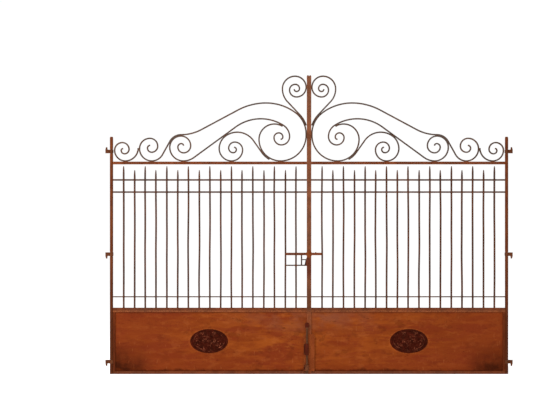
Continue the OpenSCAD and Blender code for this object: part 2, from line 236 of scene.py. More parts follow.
class ShapeTrees:
    """The Geometry Nodes trees for what repeats or follows a path, each built once."""

    _made: dict[str, tuple[bpy.types.NodeTree, dict[str, str]]] = {}

    @classmethod
    def take(cls, name: str, build: Callable[[TreeBuilder, dict[str, str]], None]) -> tuple:
        """A tree and its inputs' identifiers, built the first time it is asked for.

        Args:
            name: Name of the tree.
            build: Fills an empty tree and the table of identifiers.

        Returns:
            The tree, and a table of input name to identifier.
        """
        if name not in cls._made:
            build_in, ids = TreeBuilder(name, "GeometryNodeTree"), {}
            ids["Geometry"] = build_in.takes("Geometry", "NodeSocketGeometry")
            build(build_in, ids)
            cls._made[name] = (build_in.tree, ids)
        return cls._made[name]

    @staticmethod
    def close(t: TreeBuilder, shape: bpy.types.NodeSocket) -> None:
        """End a tree: real geometry instead of instances, and the finish."""
        real = t.add("GeometryNodeRealizeInstances", {"Geometry": shape})
        dressed = t.add("GeometryNodeSetMaterial", {"Geometry": real.outputs[0],
                                                    "Material": t.get("Material")})
        t.gives("Geometry", "NodeSocketGeometry", dressed.outputs[0])

    @staticmethod
    def bent_bar(t: TreeBuilder, ids: dict[str, str]) -> None:
        """A flat forged bar swept along a line drawn in the ground plane, then stood upright."""
        for name, value in (("Width", 0.013), ("Depth", 0.016), ("Corner", 0.002), ("Step", 0.009),
                            ("Taper", 0.07), ("Tip", 0.6), ("Hammering", 0.0008)):
            ids[name] = t.takes(name, "NodeSocketFloat", value)
        ids["Material"] = t.takes("Material", "NodeSocketMaterial")
        line = t.add("GeometryNodeMeshToCurve", {"Mesh": t.get("Geometry")})
        even = t.add("GeometryNodeResampleCurve", {"Curve": line.outputs[0], "Length": t.get("Step")},
                     mode="LENGTH")
        upright = t.add("GeometryNodeSetCurveNormal", {"Curve": even.outputs[0]}, mode="Z_UP")
        along = t.add("GeometryNodeSplineParameter").outputs["Length"]
        whole = t.add("GeometryNodeSplineLength").outputs["Length"]
        near_end = t.maths("MINIMUM", along, t.maths("SUBTRACT", whole, along))
        share = t.remap(near_end, 0.0, t.get("Taper"), t.get("Tip"), 1.0)
        tapered = t.add("GeometryNodeSetCurveRadius", {"Curve": upright.outputs[0], "Radius": share})
        outline = t.add("GeometryNodeCurvePrimitiveQuadrilateral",
                        {"Width": t.get("Width"), "Height": t.get("Depth")})
        soft = t.add("GeometryNodeFilletCurve", {"Curve": outline.outputs[0], "Count": 2,
                                                 "Radius": t.get("Corner"), "Limit Radius": True},
                     mode="POLY")
        strips = t.add("GeometryNodeSubdivideCurve", {"Curve": soft.outputs[0], "Cuts": 1})
        bar = t.add("GeometryNodeCurveToMesh", {"Curve": tapered.outputs[0],
                                                "Profile Curve": strips.outputs[0],
                                                "Fill Caps": True})
        dents = t.add("ShaderNodeTexNoise", {"Scale": 38.0, "Detail": 3.0})
        depth = t.maths("MULTIPLY", t.maths("SUBTRACT", dents.outputs[0], 0.5), t.get("Hammering"))
        normal = t.add("GeometryNodeInputNormal")
        push = t.add("ShaderNodeVectorMath", {0: normal.outputs[0], "Scale": depth}, operation="SCALE")
        beaten = t.add("GeometryNodeSetPosition", {"Geometry": bar.outputs[0],
                                                   "Offset": push.outputs[0]})
        stood = t.add("GeometryNodeTransform", {"Geometry": beaten.outputs[0],
                                                "Rotation": (math.pi / 2, 0.0, 0.0)})
        ShapeTrees.close(t, stood.outputs[0])

    @staticmethod
    def picket_row(t: TreeBuilder, ids: dict[str, str]) -> None:
        """A row of upright bars, each a little out of true and bowed between its fixed ends."""
        ids["Count"] = t.takes("Count", "NodeSocketInt", 9)
        ids["Start"] = t.takes("Start", "NodeSocketVector")
        ids["Spacing"] = t.takes("Spacing", "NodeSocketVector")
        for name, value in (("Foot", 0.5), ("Length", 1.4), ("Lean", 0.003), ("Bow", 0.003)):
            ids[name] = t.takes(name, "NodeSocketFloat", value)
        ids["Seed"] = t.takes("Seed", "NodeSocketInt", 1)
        ids["Material"] = t.takes("Material", "NodeSocketMaterial")
        line = t.add("GeometryNodeMeshLine", {"Count": t.get("Count"), "Start Location": t.get("Start"),
                                              "Offset": t.get("Spacing")}, mode="OFFSET")
        lean = t.get("Lean")
        least = t.add("ShaderNodeVectorMath", {0: (-1.0, -1.0, -20.0), "Scale": lean}, operation="SCALE")
        most = t.add("ShaderNodeVectorMath", {0: (1.0, 1.0, 20.0), "Scale": lean}, operation="SCALE")
        turn = t.add("FunctionNodeRandomValue", {0: least.outputs[0], 1: most.outputs[0],
                                                 "Seed": t.get("Seed")}, data_type="FLOAT_VECTOR")
        number = t.add("GeometryNodeInputIndex")
        numbered = t.add("GeometryNodeCaptureAttribute", {"Geometry": line.outputs[0]})
        numbered.capture_items.new("INT", "number")
        t.tree.links.new(number.outputs[0], numbered.inputs[1])
        row = t.add("GeometryNodeInstanceOnPoints", {"Points": numbered.outputs[0],
                                                     "Instance": t.get("Geometry"),
                                                     "Rotation": turn.outputs["Value"]})
        real = t.add("GeometryNodeRealizeInstances", {"Geometry": row.outputs[0]})
        place = t.add("GeometryNodeInputPosition")
        up = t.add("ShaderNodeSeparateXYZ", {0: place.outputs[0]}).outputs["Z"]
        share = t.maths("DIVIDE", t.maths("SUBTRACT", up, t.get("Foot")), t.get("Length"))
        belly = t.maths("SINE", t.maths("MULTIPLY", share, math.pi))
        pick = t.add("ShaderNodeCombineXYZ", {"X": t.maths("MULTIPLY", numbered.outputs[1], 7.31),
                                              "Y": t.maths("MULTIPLY", share, 1.7),
                                              "Z": t.maths("MULTIPLY", t.get("Seed"), 3.7)})
        bend = t.add("ShaderNodeTexNoise", {"Vector": pick.outputs[0], "Scale": 1.0, "Detail": 1.0})
        side = t.maths("MULTIPLY", t.maths("SUBTRACT", bend.outputs[0], 0.5), belly)
        push = t.add("ShaderNodeCombineXYZ", {
            "X": t.maths("MULTIPLY", side, t.maths("MULTIPLY", t.get("Bow"), 4.0)),
            "Y": t.maths("MULTIPLY", side, t.get("Bow"))})
        bowed = t.add("GeometryNodeSetPosition", {"Geometry": real.outputs[0],
                                                  "Offset": push.outputs[0]})
        ShapeTrees.close(t, bowed.outputs[0])

    @staticmethod
    def studs(t: TreeBuilder, ids: dict[str, str]) -> None:
        """Round heads or weld beads on the points of a mesh, each a little different."""
        for name, value in (("Radius", 0.005), ("Height", 0.003), ("Jitter", 0.1), ("Lumps", 0.0)):
            ids[name] = t.takes(name, "NodeSocketFloat", value)
        ids["Segments"] = t.takes("Segments", "NodeSocketInt", 12)
        ids["Seed"] = t.takes("Seed", "NodeSocketInt", 1)
        ids["Material"] = t.takes("Material", "NodeSocketMaterial")
        ball = t.add("GeometryNodeMeshUVSphere", {"Segments": t.get("Segments"), "Rings": 7,
                                                  "Radius": 1.0})
        turned = t.add("GeometryNodeTransform", {"Geometry": ball.outputs[0],
                                                 "Rotation": (math.pi / 2, 0.0, 0.0)})
        size = t.add("ShaderNodeCombineXYZ", {"X": t.get("Radius"), "Y": t.get("Height"),
                                              "Z": t.get("Radius")})
        sized = t.add("GeometryNodeTransform", {"Geometry": turned.outputs[0], "Scale": size.outputs[0]})
        low = t.maths("SUBTRACT", 1.0, t.get("Jitter"))
        high = t.maths("ADD", 1.0, t.get("Jitter"))
        vary = t.add("FunctionNodeRandomValue", {2: low, 3: high, "Seed": t.get("Seed")},
                     data_type="FLOAT")
        points = t.add("GeometryNodeMeshToPoints", {"Mesh": t.get("Geometry")})
        set_on = t.add("GeometryNodeInstanceOnPoints", {"Points": points.outputs[0],
                                                        "Instance": sized.outputs[0],
                                                        "Scale": vary.outputs["Value"]})
        real = t.add("GeometryNodeRealizeInstances", {"Geometry": set_on.outputs[0]})
        lumps = t.add("ShaderNodeTexNoise", {"Scale": 160.0, "Detail": 2.0})
        deep = t.maths("MULTIPLY", t.maths("SUBTRACT", lumps.outputs[0], 0.5), t.get("Lumps"))
        normal = t.add("GeometryNodeInputNormal")
        push = t.add("ShaderNodeVectorMath", {0: normal.outputs[0], "Scale": deep}, operation="SCALE")
        rough = t.add("GeometryNodeSetPosition", {"Geometry": real.outputs[0],
                                                  "Offset": push.outputs[0]})
        ShapeTrees.close(t, rough.outputs[0])


# ------------------------------------------------------------------ finishes


def linear(colour: Colour) -> tuple[float, float, float, float]:
    """A paint colour of 0 to 255 as linear light, with full alpha."""
    values = [c / 255 for c in colour]
    return (*[v / 12.92 if v <= 0.04045 else ((v + 0.055) / 1.055) ** 2.4 for v in values], 1.0)


class FinishGroups:
    """Shader groups that the finishes share, each built once."""

    _made: dict[str, bpy.types.NodeTree] = {}

    @classmethod
    def rust_bloom(cls) -> bpy.types.NodeTree:
        """Patches, grain, pits and the height they make."""
        if "rust_bloom" in cls._made:
            return cls._made["rust_bloom"]
        t = TreeBuilder("rust_bloom", "ShaderNodeTree")
        t.takes("Vector", "NodeSocketVector")
        for name, value in (("Bloom", 9.0), ("Grain", 220.0), ("Seed", 0.0)):
            t.takes(name, "NodeSocketFloat", value)
        cloud = t.add("ShaderNodeTexNoise", {"Vector": t.get("Vector"), "W": t.get("Seed"),
                                             "Scale": t.get("Bloom"), "Detail": 7.0, "Roughness": 0.62},
                      noise_dimensions="4D")
        bloom = t.remap(cloud.outputs[0], 0.36, 0.64, 0.0, 1.0)
        sand = t.add("ShaderNodeTexNoise", {"Vector": t.get("Vector"), "Scale": t.get("Grain"),
                                            "Detail": 3.0, "Roughness": 0.6})
        grain = t.remap(sand.outputs[0], 0.36, 0.66, 0.0, 1.0)
        cells = t.add("ShaderNodeTexVoronoi", {"Vector": t.get("Vector"),
                                               "Scale": t.maths("MULTIPLY", t.get("Grain"), 0.35)})
        hole = t.remap(cells.outputs[0], 0.05, 0.42, 1.0, 0.0)
        where = t.add("ShaderNodeTexNoise", {"Vector": t.get("Vector"), "W": t.get("Seed"), "Detail": 4.0,
                                             "Scale": t.maths("MULTIPLY", t.get("Bloom"), 3.1)},
                      noise_dimensions="4D")
        pits = t.maths("MULTIPLY", hole, t.remap(where.outputs[0], 0.48, 0.62, 0.0, 1.0))
        flakes = t.remap(where.outputs[0], 0.36, 0.5, 1.0, 0.0)
        rise = t.maths("ADD", t.maths("MULTIPLY", grain, 0.5), t.maths("MULTIPLY", bloom, 0.3))
        rise = t.maths("ADD", rise, t.maths("MULTIPLY", flakes, 0.4))
        height = t.maths("SUBTRACT", rise, t.maths("MULTIPLY", pits, 0.7))
        for name, source in (("Bloom", bloom), ("Grain", grain), ("Pits", pits), ("Flakes", flakes),
                             ("Height", height)):
            t.gives(name, "NodeSocketFloat", source)
        cls._made["rust_bloom"] = t.tree
        return t.tree

    @classmethod
    def leaf_place(cls) -> bpy.types.NodeTree:
        """Masks for where a point lies on a pair of leaves that mirror about a middle line."""
        if "leaf_place" in cls._made:
            return cls._made["leaf_place"]
        t = TreeBuilder("leaf_place", "ShaderNodeTree")
        t.takes("Vector", "NodeSocketVector")
        for name, value in (("Middle", 2.046), ("Width", 1.96), ("Foot", -0.124), ("Height", 0.63)):
            t.takes(name, "NodeSocketFloat", value)
        axes = t.add("ShaderNodeSeparateXYZ", {0: t.get("Vector")})
        aside = t.maths("ABSOLUTE", t.maths("SUBTRACT", axes.outputs["X"], t.get("Middle")))
        outward = t.maths("DIVIDE", aside, t.get("Width"))
        up = t.maths("DIVIDE", t.maths("SUBTRACT", axes.outputs["Z"], t.get("Foot")), t.get("Height"))
        t.gives("Outward", "NodeSocketFloat", outward)
        t.gives("Up", "NodeSocketFloat", up)
        cls._made["leaf_place"] = t.tree
        return t.tree


# What every rust finish has in common: how strongly worn edges and painted highlights lighten and how
# light they get, how dark pits and damp are, how strongly the flakes show, and the range of its
# roughness.
RUB_AND_HIGHLIGHT_GAIN, RUB_AND_HIGHLIGHT_LIFT = 1.4, 1.28
PIT_SHADE, DAMP_SHADE, FLAKE_SHARE = 0.5, 0.8, 0.3
ROUGH = (0.68, 0.94)


def shaded(colour: Colour, by: float) -> Colour:
    """A tone made darker or lighter by a factor."""
    return tuple(min(255, int(c * by)) for c in colour)


@dataclass(frozen=True)
class RustFinish:
    """A rust finish: three tones of oxide, how they lie, and how rough they are."""

    name: str
    slot: str
    dark: Colour
    body: Colour
    bright: Colour
    bloom: float = 9.0
    grain: float = 210.0
    stretch: tuple[float, float, float] = (1.0, 1.0, 1.0)
    glow: float = 0.4
    rub: float = 0.6
    pitting: float = 0.7
    bump: float = 0.0014
    seed: float = 0.0
    low_dark: float = 0.0
    drift: float = 0.0
    gloss: float = 0.08
    low_warm: float = 0.0
    lock_stain: float = 0.0
    warm: Colour = (148, 74, 38)
    stain: Colour = (92, 38, 22)
    stain_from: tuple[float, float] = (1.46, 1.62)
    stain_to: tuple[float, float] = (1.8, 1.94)

    def material(self) -> bpy.types.Material:
        """The finish as a material, made the first time it is asked for."""
        if self.name in bpy.data.materials:
            return bpy.data.materials[self.name]
        mat = bpy.data.materials.new(self.name)
        mat.use_nodes = True
        tree = mat.node_tree
        tree.nodes.clear()
        spot = add_node(tree, "ShaderNodeTexCoord").outputs["Object"]
        laid = add_node(tree, "ShaderNodeMapping", {"Vector": spot, "Scale": self.stretch})
        rust = add_node(tree, "ShaderNodeGroup", node_tree=FinishGroups.rust_bloom())
        tree.links.new(laid.outputs[0], rust.inputs["Vector"])
        for key, value in (("Bloom", self.bloom), ("Grain", self.grain), ("Seed", self.seed)):
            rust.inputs[key].default_value = value
        colour = self.mix(tree, rust.outputs["Bloom"], linear(self.dark), linear(self.body))
        colour = self.lay(tree, colour, rust.outputs["Grain"], self.glow, self.bright)
        colour = self.weather(tree, spot, colour)
        # The stored marks lighten worn edges, and on some pieces they carry a painted highlight.
        wear_and_highlight_mask = add_node(tree, "ShaderNodeAttribute", attribute_name="wear").outputs["Fac"]
        patchy = self.times(tree, rust.outputs["Grain"], wear_and_highlight_mask)
        colour = self.lay(tree, colour, patchy, self.rub * RUB_AND_HIGHLIGHT_GAIN, shaded(self.bright, RUB_AND_HIGHLIGHT_LIFT))
        colour = self.lay(tree, colour, rust.outputs["Flakes"], FLAKE_SHARE, self.dark)
        colour = self.lay(tree, colour, rust.outputs["Pits"], self.pitting, shaded(self.dark, PIT_SHADE))
        rough = add_node(tree, "ShaderNodeMapRange", {0: rust.outputs["Grain"], 1: 0.0, 2: 1.0,
                                                      3: ROUGH[0], 4: ROUGH[1]})
        bump = add_node(tree, "ShaderNodeBump", {"Height": rust.outputs["Height"], "Strength": 1.0,
                                                 "Distance": self.bump})
        shader = add_node(tree, "ShaderNodeBsdfPrincipled", {"Base Color": colour,
                                                             "Roughness": rough.outputs[0],
                                                             "Normal": bump.outputs[0],
                                                             "Specular IOR Level": self.gloss})
        out = add_node(tree, "ShaderNodeOutputMaterial")
        tree.links.new(shader.outputs[0], out.inputs["Surface"])
        return mat

    @staticmethod
    def mix(tree: bpy.types.NodeTree, share: Any, first: Any, second: Any) -> bpy.types.NodeSocket:
        """A colour between two others."""
        return add_node(tree, "ShaderNodeMix", {0: share, 6: first, 7: second},
                        data_type="RGBA").outputs[2]

    @staticmethod
    def times(tree: bpy.types.NodeTree, value: Any, by: Any) -> bpy.types.NodeSocket:
        """A mask made weaker."""
        return add_node(tree, "ShaderNodeMath", {0: value, 1: by}, operation="MULTIPLY").outputs[0]

    def lay(self, tree: bpy.types.NodeTree, colour: Any, mask: Any, share: Any, tone: Colour
            ) -> bpy.types.NodeSocket:
        """Lay a tone over a colour where a mask shows it, at a share of its strength."""
        return self.mix(tree, self.times(tree, mask, share), colour, linear(tone))

    @staticmethod
    def ease(tree: bpy.types.NodeTree, value: Any, low: float, high: float, start: float = 0.0,
             end: float = 1.0) -> bpy.types.NodeSocket:
        """A smooth step of a value, from one level to another."""
        return add_node(tree, "ShaderNodeMapRange", {0: value, 1: low, 2: high, 3: start, 4: end},
                        interpolation_type="SMOOTHSTEP").outputs[0]

    def noise(self, tree: bpy.types.NodeTree, spot: Any, scale: float,
              stretch: tuple[float, float, float] = (1.0, 1.0, 1.0), detail: float = 5.0
              ) -> bpy.types.NodeSocket:
        """Noise on the piece's own place, stretched as asked."""
        laid = add_node(tree, "ShaderNodeMapping", {"Vector": spot, "Scale": stretch,
                                                    "Location": (scale * 1.7, 0.0, scale * 0.9)})
        return add_node(tree, "ShaderNodeTexNoise", {"Vector": laid.outputs[0], "Scale": scale,
                                                     "Detail": detail, "Roughness": 0.6}).outputs[0]

    def place(self, tree: bpy.types.NodeTree, spot: Any) -> bpy.types.Node:
        """Where a point lies on its leaf."""
        return add_node(tree, "ShaderNodeGroup", {"Vector": spot}, node_tree=FinishGroups.leaf_place())

    def weather(self, tree: bpy.types.NodeTree, spot: Any, colour: Any) -> bpy.types.NodeSocket:
        """Barer stretches, darker or warmer rust towards the foot, and a stain by the lock."""
        if self.drift:
            bare = self.ease(tree, self.noise(tree, spot, 2.1, detail=2.0), 0.42, 0.62)
            grey = tuple((c + sum(self.body) // 3) // 2 for c in self.body)
            colour = self.lay(tree, colour, bare, self.drift, grey)
        if self.low_dark:
            leaf = self.place(tree, spot)
            low = self.ease(tree, leaf.outputs["Up"], 0.0, 2.6, 1.0, 0.0)
            out = self.ease(tree, leaf.outputs["Outward"], 0.55, 1.03, 0.45, 1.0)
            colour = self.lay(tree, colour, self.times(tree, low, out), self.low_dark,
                              shaded(self.dark, DAMP_SHADE))
        if self.low_warm:
            foot = self.ease(tree, self.place(tree, spot).outputs["Up"], 0.9, 1.06, 1.0, 0.0)
            cloud = self.ease(tree, self.noise(tree, spot, 14.0, detail=4.0), 0.4, 0.62, 0.7, 1.1)
            colour = self.lay(tree, colour, self.times(tree, foot, cloud), self.low_warm, self.warm)
        if self.lock_stain:
            up = self.place(tree, spot).outputs["Up"]
            above = self.ease(tree, up, *self.stain_from)
            band = self.times(tree, above, self.ease(tree, up, *self.stain_to, 1.0, 0.0))
            colour = self.lay(tree, colour, band, self.lock_stain, self.stain)
        return colour


@dataclass(frozen=True)
class SheetFinish(RustFinish):
    """The sheet's finish: clouds, long streaks, a grey bloom by the gap, damp corners, and a painted
    shadow under the rail.
    """

    orange: Colour = (150, 73, 22)
    red: Colour = (120, 46, 18)
    grey: Colour = (126, 68, 46)
    # Dark brown for damp blots and stains, also used for the painted shadow under the rail.
    damp: Colour = (80, 28, 6)
    blister: Colour = (162, 86, 38)
    scuffed: Colour = (166, 96, 52)

    def weather(self, tree: bpy.types.NodeTree, spot: Any, colour: Any) -> bpy.types.NodeSocket:
        """Lay the sheet's own clouds and stains, and a painted shadow under the rail, over the plain
        rust.
        """
        leaf = self.place(tree, spot)
        out, up = leaf.outputs["Outward"], leaf.outputs["Up"]
        inner = self.ease(tree, out, 0.1, 0.85, 1.0, 0.25)
        cloud = self.ease(tree, self.noise(tree, spot, 2.3, (0.6, 1.0, 1.9)), 0.46, 0.6)
        colour = self.lay(tree, colour, self.times(tree, cloud, inner), 0.9, self.orange)
        cloud = self.ease(tree, self.noise(tree, spot, 3.7, (0.5, 1.0, 1.8)), 0.48, 0.6)
        colour = self.lay(tree, colour, cloud, 0.85, self.red)
        streak = self.ease(tree, self.noise(tree, spot, 5.0, (0.6, 1.0, 4.0), 7.0), 0.5, 0.62)
        colour = self.lay(tree, colour, streak, 0.5, self.orange)
        streak = self.ease(tree, self.noise(tree, spot, 6.1, (0.5, 1.0, 3.6), 7.0), 0.52, 0.64)
        colour = self.lay(tree, colour, streak, 0.6, self.red)
        blot = self.ease(tree, self.noise(tree, spot, 8.0, (0.8, 1.0, 1.3), 6.0), 0.53, 0.64)
        colour = self.lay(tree, colour, blot, 0.38, self.damp)
        blot = self.ease(tree, self.noise(tree, spot, 10.0, (0.8, 1.0, 1.6), 6.0), 0.53, 0.63)
        colour = self.lay(tree, colour, blot, 0.32, self.blister)
        top = self.times(tree, self.ease(tree, up, 0.55, 0.95), self.ease(tree, out, 0.05, 0.5, 1.0, 0.0))
        haze = self.ease(tree, self.noise(tree, spot, 4.3, (1.0, 1.0, 1.4)), 0.36, 0.62)
        colour = self.lay(tree, colour, self.times(tree, top, haze), 0.85, self.grey)
        outer = self.ease(tree, out, 0.35, 0.95)
        colour = self.lay(tree, colour, outer, 0.55, self.red)
        low = self.ease(tree, up, 0.02, 0.62, 1.0, 0.0)
        colour = self.lay(tree, colour, low, 0.4, self.red)
        corner = self.times(tree, self.ease(tree, out, 0.76, 0.95), low)
        loose = self.ease(tree, self.noise(tree, spot, 5.2), 0.34, 0.6, 0.75, 1.2)
        colour = self.lay(tree, colour, corner, loose, shaded(self.damp, DAMP_SHADE))
        wander = self.noise(tree, spot, 11.0, (0.6, 1.0, 0.6))
        foot = add_node(tree, "ShaderNodeMath", {0: wander, 1: 0.16, 2: up}, operation="MULTIPLY_ADD")
        stain = self.ease(tree, foot.outputs[0], 0.118, 0.165, 1.0, 0.0)
        colour = self.lay(tree, colour, stain, 0.85, self.damp)
        # A thin dark line along the sheet's top edge, just under the rail: a painted shadow of the rail.
        edge = add_node(tree, "ShaderNodeMath", {0: wander, 1: 0.05, 2: up}, operation="MULTIPLY_ADD")
        upper = self.ease(tree, edge.outputs[0], 0.992, 1.03)
        colour = self.lay(tree, colour, upper, 0.6, self.damp)
        scab = self.ease(tree, self.noise(tree, spot, 17.0, (0.7, 1.0, 1.5), 3.0), 0.63, 0.72)
        colour = self.lay(tree, colour, scab, 0.5, self.damp)
        rubs = self.ease(tree, self.noise(tree, spot, 24.0, (2.2, 1.0, 0.5), 4.0), 0.6, 0.74)
        return self.lay(tree, colour, rubs, 0.35, self.scuffed)


class Iron(Enum):
    """The gate's finishes."""

    FRAME = RustFinish("frame_rust", "frame_iron", (88, 48, 29), (130, 75, 49), (152, 96, 64),
                       bloom=6.0, seed=1.3, low_dark=1.05, rub=0.3, drift=0.2, low_warm=0.72,
                       lock_stain=0.75)
    POST = RustFinish("post_rust", "frame_iron", (84, 33, 10), (110, 52, 20), (132, 74, 38),
                      bloom=6.0, seed=5.5, low_dark=0.75, rub=0.2, drift=0.15)
    RAIL = RustFinish("rail_rust", "frame_iron", (82, 34, 14), (116, 55, 28), (148, 86, 50),
                      bloom=9.0, seed=2.6, low_dark=0.15, rub=0.6, drift=0.3)
    # A darker copy of the rust for the edge flat: painted shade.
    SHADED = RustFinish("shaded_rust", "frame_iron", (90, 34, 10), (116, 49, 16), (134, 66, 30),
                        bloom=7.0, seed=3.3, low_dark=0.65, rub=0.3)
    PLATE = RustFinish("plate_rust", "frame_iron", (112, 46, 15), (137, 63, 26), (158, 88, 48),
                       bloom=7.0, seed=4.7, rub=0.35, pitting=0.5, glow=0.35, gloss=0.05)
    BRIGHT = RustFinish("boss_rust", "frame_iron", (94, 40, 16), (130, 62, 25), (152, 82, 38),
                        bloom=16.0, seed=6.2, rub=0.3)
    DIM = RustFinish("lock_rust", "frame_iron", (46, 29, 22), (75, 49, 37), (95, 68, 54),
                     bloom=8.0, seed=7.1, rub=0.2, glow=0.3)
    BAR = RustFinish("bar_rust", "bar_iron", (56, 33, 23), (90, 53, 36), (118, 73, 50), bloom=5.0,
                     seed=4.1, rub=0.2, drift=0.5)
    SCROLL = RustFinish("scroll_rust", "scroll_iron", (60, 45, 37), (95, 69, 55), (112, 82, 65),
                        bloom=4.0, seed=7.7, rub=0.2, drift=0.8, glow=0.3)
    # Its strong lightening also brightens the painted highlight round the casting.
    SHEET = SheetFinish("sheet_rust", "sheet_iron", (118, 47, 10), (136, 60, 17), (152, 79, 34),
                        bloom=2.6, grain=150.0, stretch=(0.6, 1.0, 1.7), glow=0.3, pitting=0.3,
                        bump=0.0008, seed=2.2, gloss=0.05, rub=0.9)
    CAST = RustFinish("casting_rust", "cast_rosette", (46, 8, 2), (74, 20, 8), (134, 76, 54),
                      bloom=26.0, grain=120.0, glow=0.1, seed=5.9, rub=1.5, pitting=0.4, gloss=0.03)
    FITTING = RustFinish("fitting_rust", "fitting_iron", (72, 36, 20), (100, 54, 31), (122, 74, 45),
                         bloom=12.0, seed=9.4, rub=0.3)
    ROD = RustFinish("rod_rust", "fitting_iron", (66, 36, 20), (92, 54, 33), (112, 72, 48),
                     bloom=10.0, seed=3.9, rub=0.3)
    LATCH = RustFinish("latch_rust", "fitting_iron", (38, 16, 10), (56, 28, 19), (78, 48, 36),
                       bloom=12.0, seed=2.8, rub=0.2)
    COVER = RustFinish("cover_rust", "fitting_iron", (74, 31, 18), (98, 46, 29), (116, 64, 43),
                       bloom=12.0, seed=1.9, rub=0.3)
    GUIDE = RustFinish("guide_rust", "fitting_iron", (54, 14, 6), (76, 23, 9), (98, 40, 20),
                       bloom=16.0, seed=8.8, rub=0.3)

    def dress(self, obj: bpy.types.Object) -> None:
        """Give an object this finish alone."""
        obj.data.materials.clear()
        obj.data.materials.append(self.value.material())


# ------------------------------------------------------------------ making meshes


@dataclass
class Shape:
    """A closed mesh in leaf millimetres, gathered from simpler ones."""

    points: np.ndarray
    faces: list[tuple[int, ...]]

    @staticmethod
    def empty() -> "Shape":
        """A shape with nothing in it."""
        return Shape(np.zeros((0, 3)), [])

    def plus(self, other: "Shape") -> "Shape":
        """Both shapes as one."""
        shift = len(self.points)
        moved = [tuple(i + shift for i in face) for face in other.faces]
        return Shape(np.vstack([self.points, other.points]), self.faces + moved)

    def beaten(self, amount: float, pitch: float, seed: int) -> "Shape":
        """The shape with a hammered, uneven surface."""
        return Shape(self.points + ripple(self.points, amount, pitch, seed), self.faces)


# Width of the narrow strip of faces beside a rounded corner, and its largest share of the flat.
STRIP, STRIP_SHARE = 2.2, 0.6


def rounded(w: float, h: float, r: float, steps: int = 2, ledge: Sequence[float] = ()) -> np.ndarray:
    """Outline of a rectangle with rounded corners, centred, running left-handed round.

    Args:
        w: Width.
        h: Height.
        r: Corner radius.
        steps: Chords in each corner.
        ledge: Further points on both long flats, as rising places along the width.

    Returns:
        Rows of x, y.
    """
    strip = min(STRIP, (min(w, h) / 2 - r) * STRIP_SHARE)
    out = []
    for n, (cx, cy) in enumerate(((1, 1), (-1, 1), (-1, -1), (1, -1))):
        px, py = cx * (w / 2 - r), cy * (h / 2 - r)
        arc = [(px + r * math.cos(math.radians(90 * (n + i / steps))),
                py + r * math.sin(math.radians(90 * (n + i / steps)))) for i in range(steps + 1)]
        a, b = math.radians(90 * n), math.radians(90 * (n + 1))
        before = (arc[0][0] + strip * math.sin(a), arc[0][1] - strip * math.cos(a))
        after = (arc[-1][0] - strip * math.sin(b), arc[-1][1] + strip * math.cos(b))
        out += [before, *arc, after]
        if cy == cx:
            out += [(x, cy * h / 2) for x in sorted(ledge, reverse=cy > 0)]
    return np.array(out)


def ringed(rings: Sequence[np.ndarray], closed: bool = False) -> Shape:
    """Skin a row of rings of equal count.

    Args:
        rings: Arrays of x, y, z rows, in order.
        closed: True if the last ring joins the first, as in a collar.

    Returns:
        The skinned shape, with flat ends unless it is closed.
    """
    count, n = len(rings), len(rings[0])
    faces: list[tuple[int, ...]] = []
    for r in range(count if closed else count - 1):
        a, b = r * n, (r + 1) % count * n
        faces += [(a + i, a + (i + 1) % n, b + (i + 1) % n, b + i) for i in range(n)]
    if not closed:
        faces += [tuple(reversed(range(n))), tuple(range((count - 1) * n, count * n))]
    return Shape(np.vstack(rings), faces)


def bar(start: Sequence[float], end: Sequence[float], wide: Sequence[float], w: float, d: float,
        r: float = 2.0, step: float = 18.0, crown: float = 0.5, more: Sequence[float] = (),
        ledge: Sequence[float] = ()) -> Shape:
    """A straight forged bar with eased edges and slightly drawn-in ends.

    Args:
        start: Middle of one end.
        end: Middle of the other end.
        wide: Unit direction in which w is measured.
        w: Width.
        d: Depth, square to the length and to w.
        r: Edge radius.
        step: Distance between rings.
        crown: How far the ends are eased.
        more: Further places for rings, measured from the start.
        ledge: Further points on both flats, measured from the middle along w.

    Returns:
        The bar.
    """
    p, q, u = (np.array(v, dtype=float) for v in (start, end, wide))
    length = float(np.linalg.norm(q - p))
    axis = (q - p) / length
    v = np.cross(axis, u)
    outline = rounded(w, d, r, 2, ledge)
    stops = [0.0, crown, *np.linspace(0, length, max(3, int(length / step)))[1:-1], length - crown,
             length]
    stops = sorted({round(float(stop), 3) for stop in [*stops, *more]})
    rings = []
    for s in stops:
        inset = crown if s in (0.0, length) else 0.0
        shape = outline * np.array([1 - 2 * inset / w, 1 - 2 * inset / d])
        rings.append(p + axis * s + shape[:, :1] * u + shape[:, 1:] * v)
    return ringed(rings)


def slab(outline: Sequence[tuple[float, float]], y0: float, y1: float, ease: float = 1.0) -> Shape:
    """A flat piece of any outline in the leaf's plane, with eased front and back edges.

    Args:
        outline: Corners as x, z.
        y0: Front face.
        y1: Back face.
        ease: How far the edges are broken.

    Returns:
        The piece.
    """
    flat = np.array(outline, dtype=float)
    along = np.roll(flat, -1, axis=0) - flat
    area = np.sum(flat[:, 0] * np.roll(flat[:, 1], -1) - flat[:, 1] * np.roll(flat[:, 0], -1))
    along /= np.linalg.norm(along, axis=1, keepdims=True)
    inward = np.column_stack([-along[:, 1], along[:, 0]]) * np.sign(area)
    both = inward + np.roll(inward, 1, axis=0)
    both /= np.maximum((both * both).sum(axis=1, keepdims=True) / 2, 0.35)
    small, inner = flat + both * ease, flat + both * (ease + 2.5)
    rings = []
    for shape, y in ((inner, y0), (small, y0), (flat, y0 + ease), (flat, y1 - ease), (small, y1),
                     (inner, y1)):
        rings.append(np.column_stack([shape[:, 0], np.full(len(shape), y), shape[:, 1]]))
    return ringed(rings)


def lathe(centre: tuple[float, float], stops: Sequence[tuple[float, float]], sides: int = 32) -> Shape:
    """A round upright piece.

    Args:
        centre: Its axis, as x, y.
        stops: Height and radius of each ring, from the foot up.
        sides: Sides of a ring.

    Returns:
        The piece.
    """
    a = np.linspace(0, 2 * math.pi, sides, endpoint=False)
    rings = [np.column_stack([centre[0] + r * np.cos(a), centre[1] + r * np.sin(a),
                              np.full(sides, z)]) for z, r in stops]
    return ringed(rings)


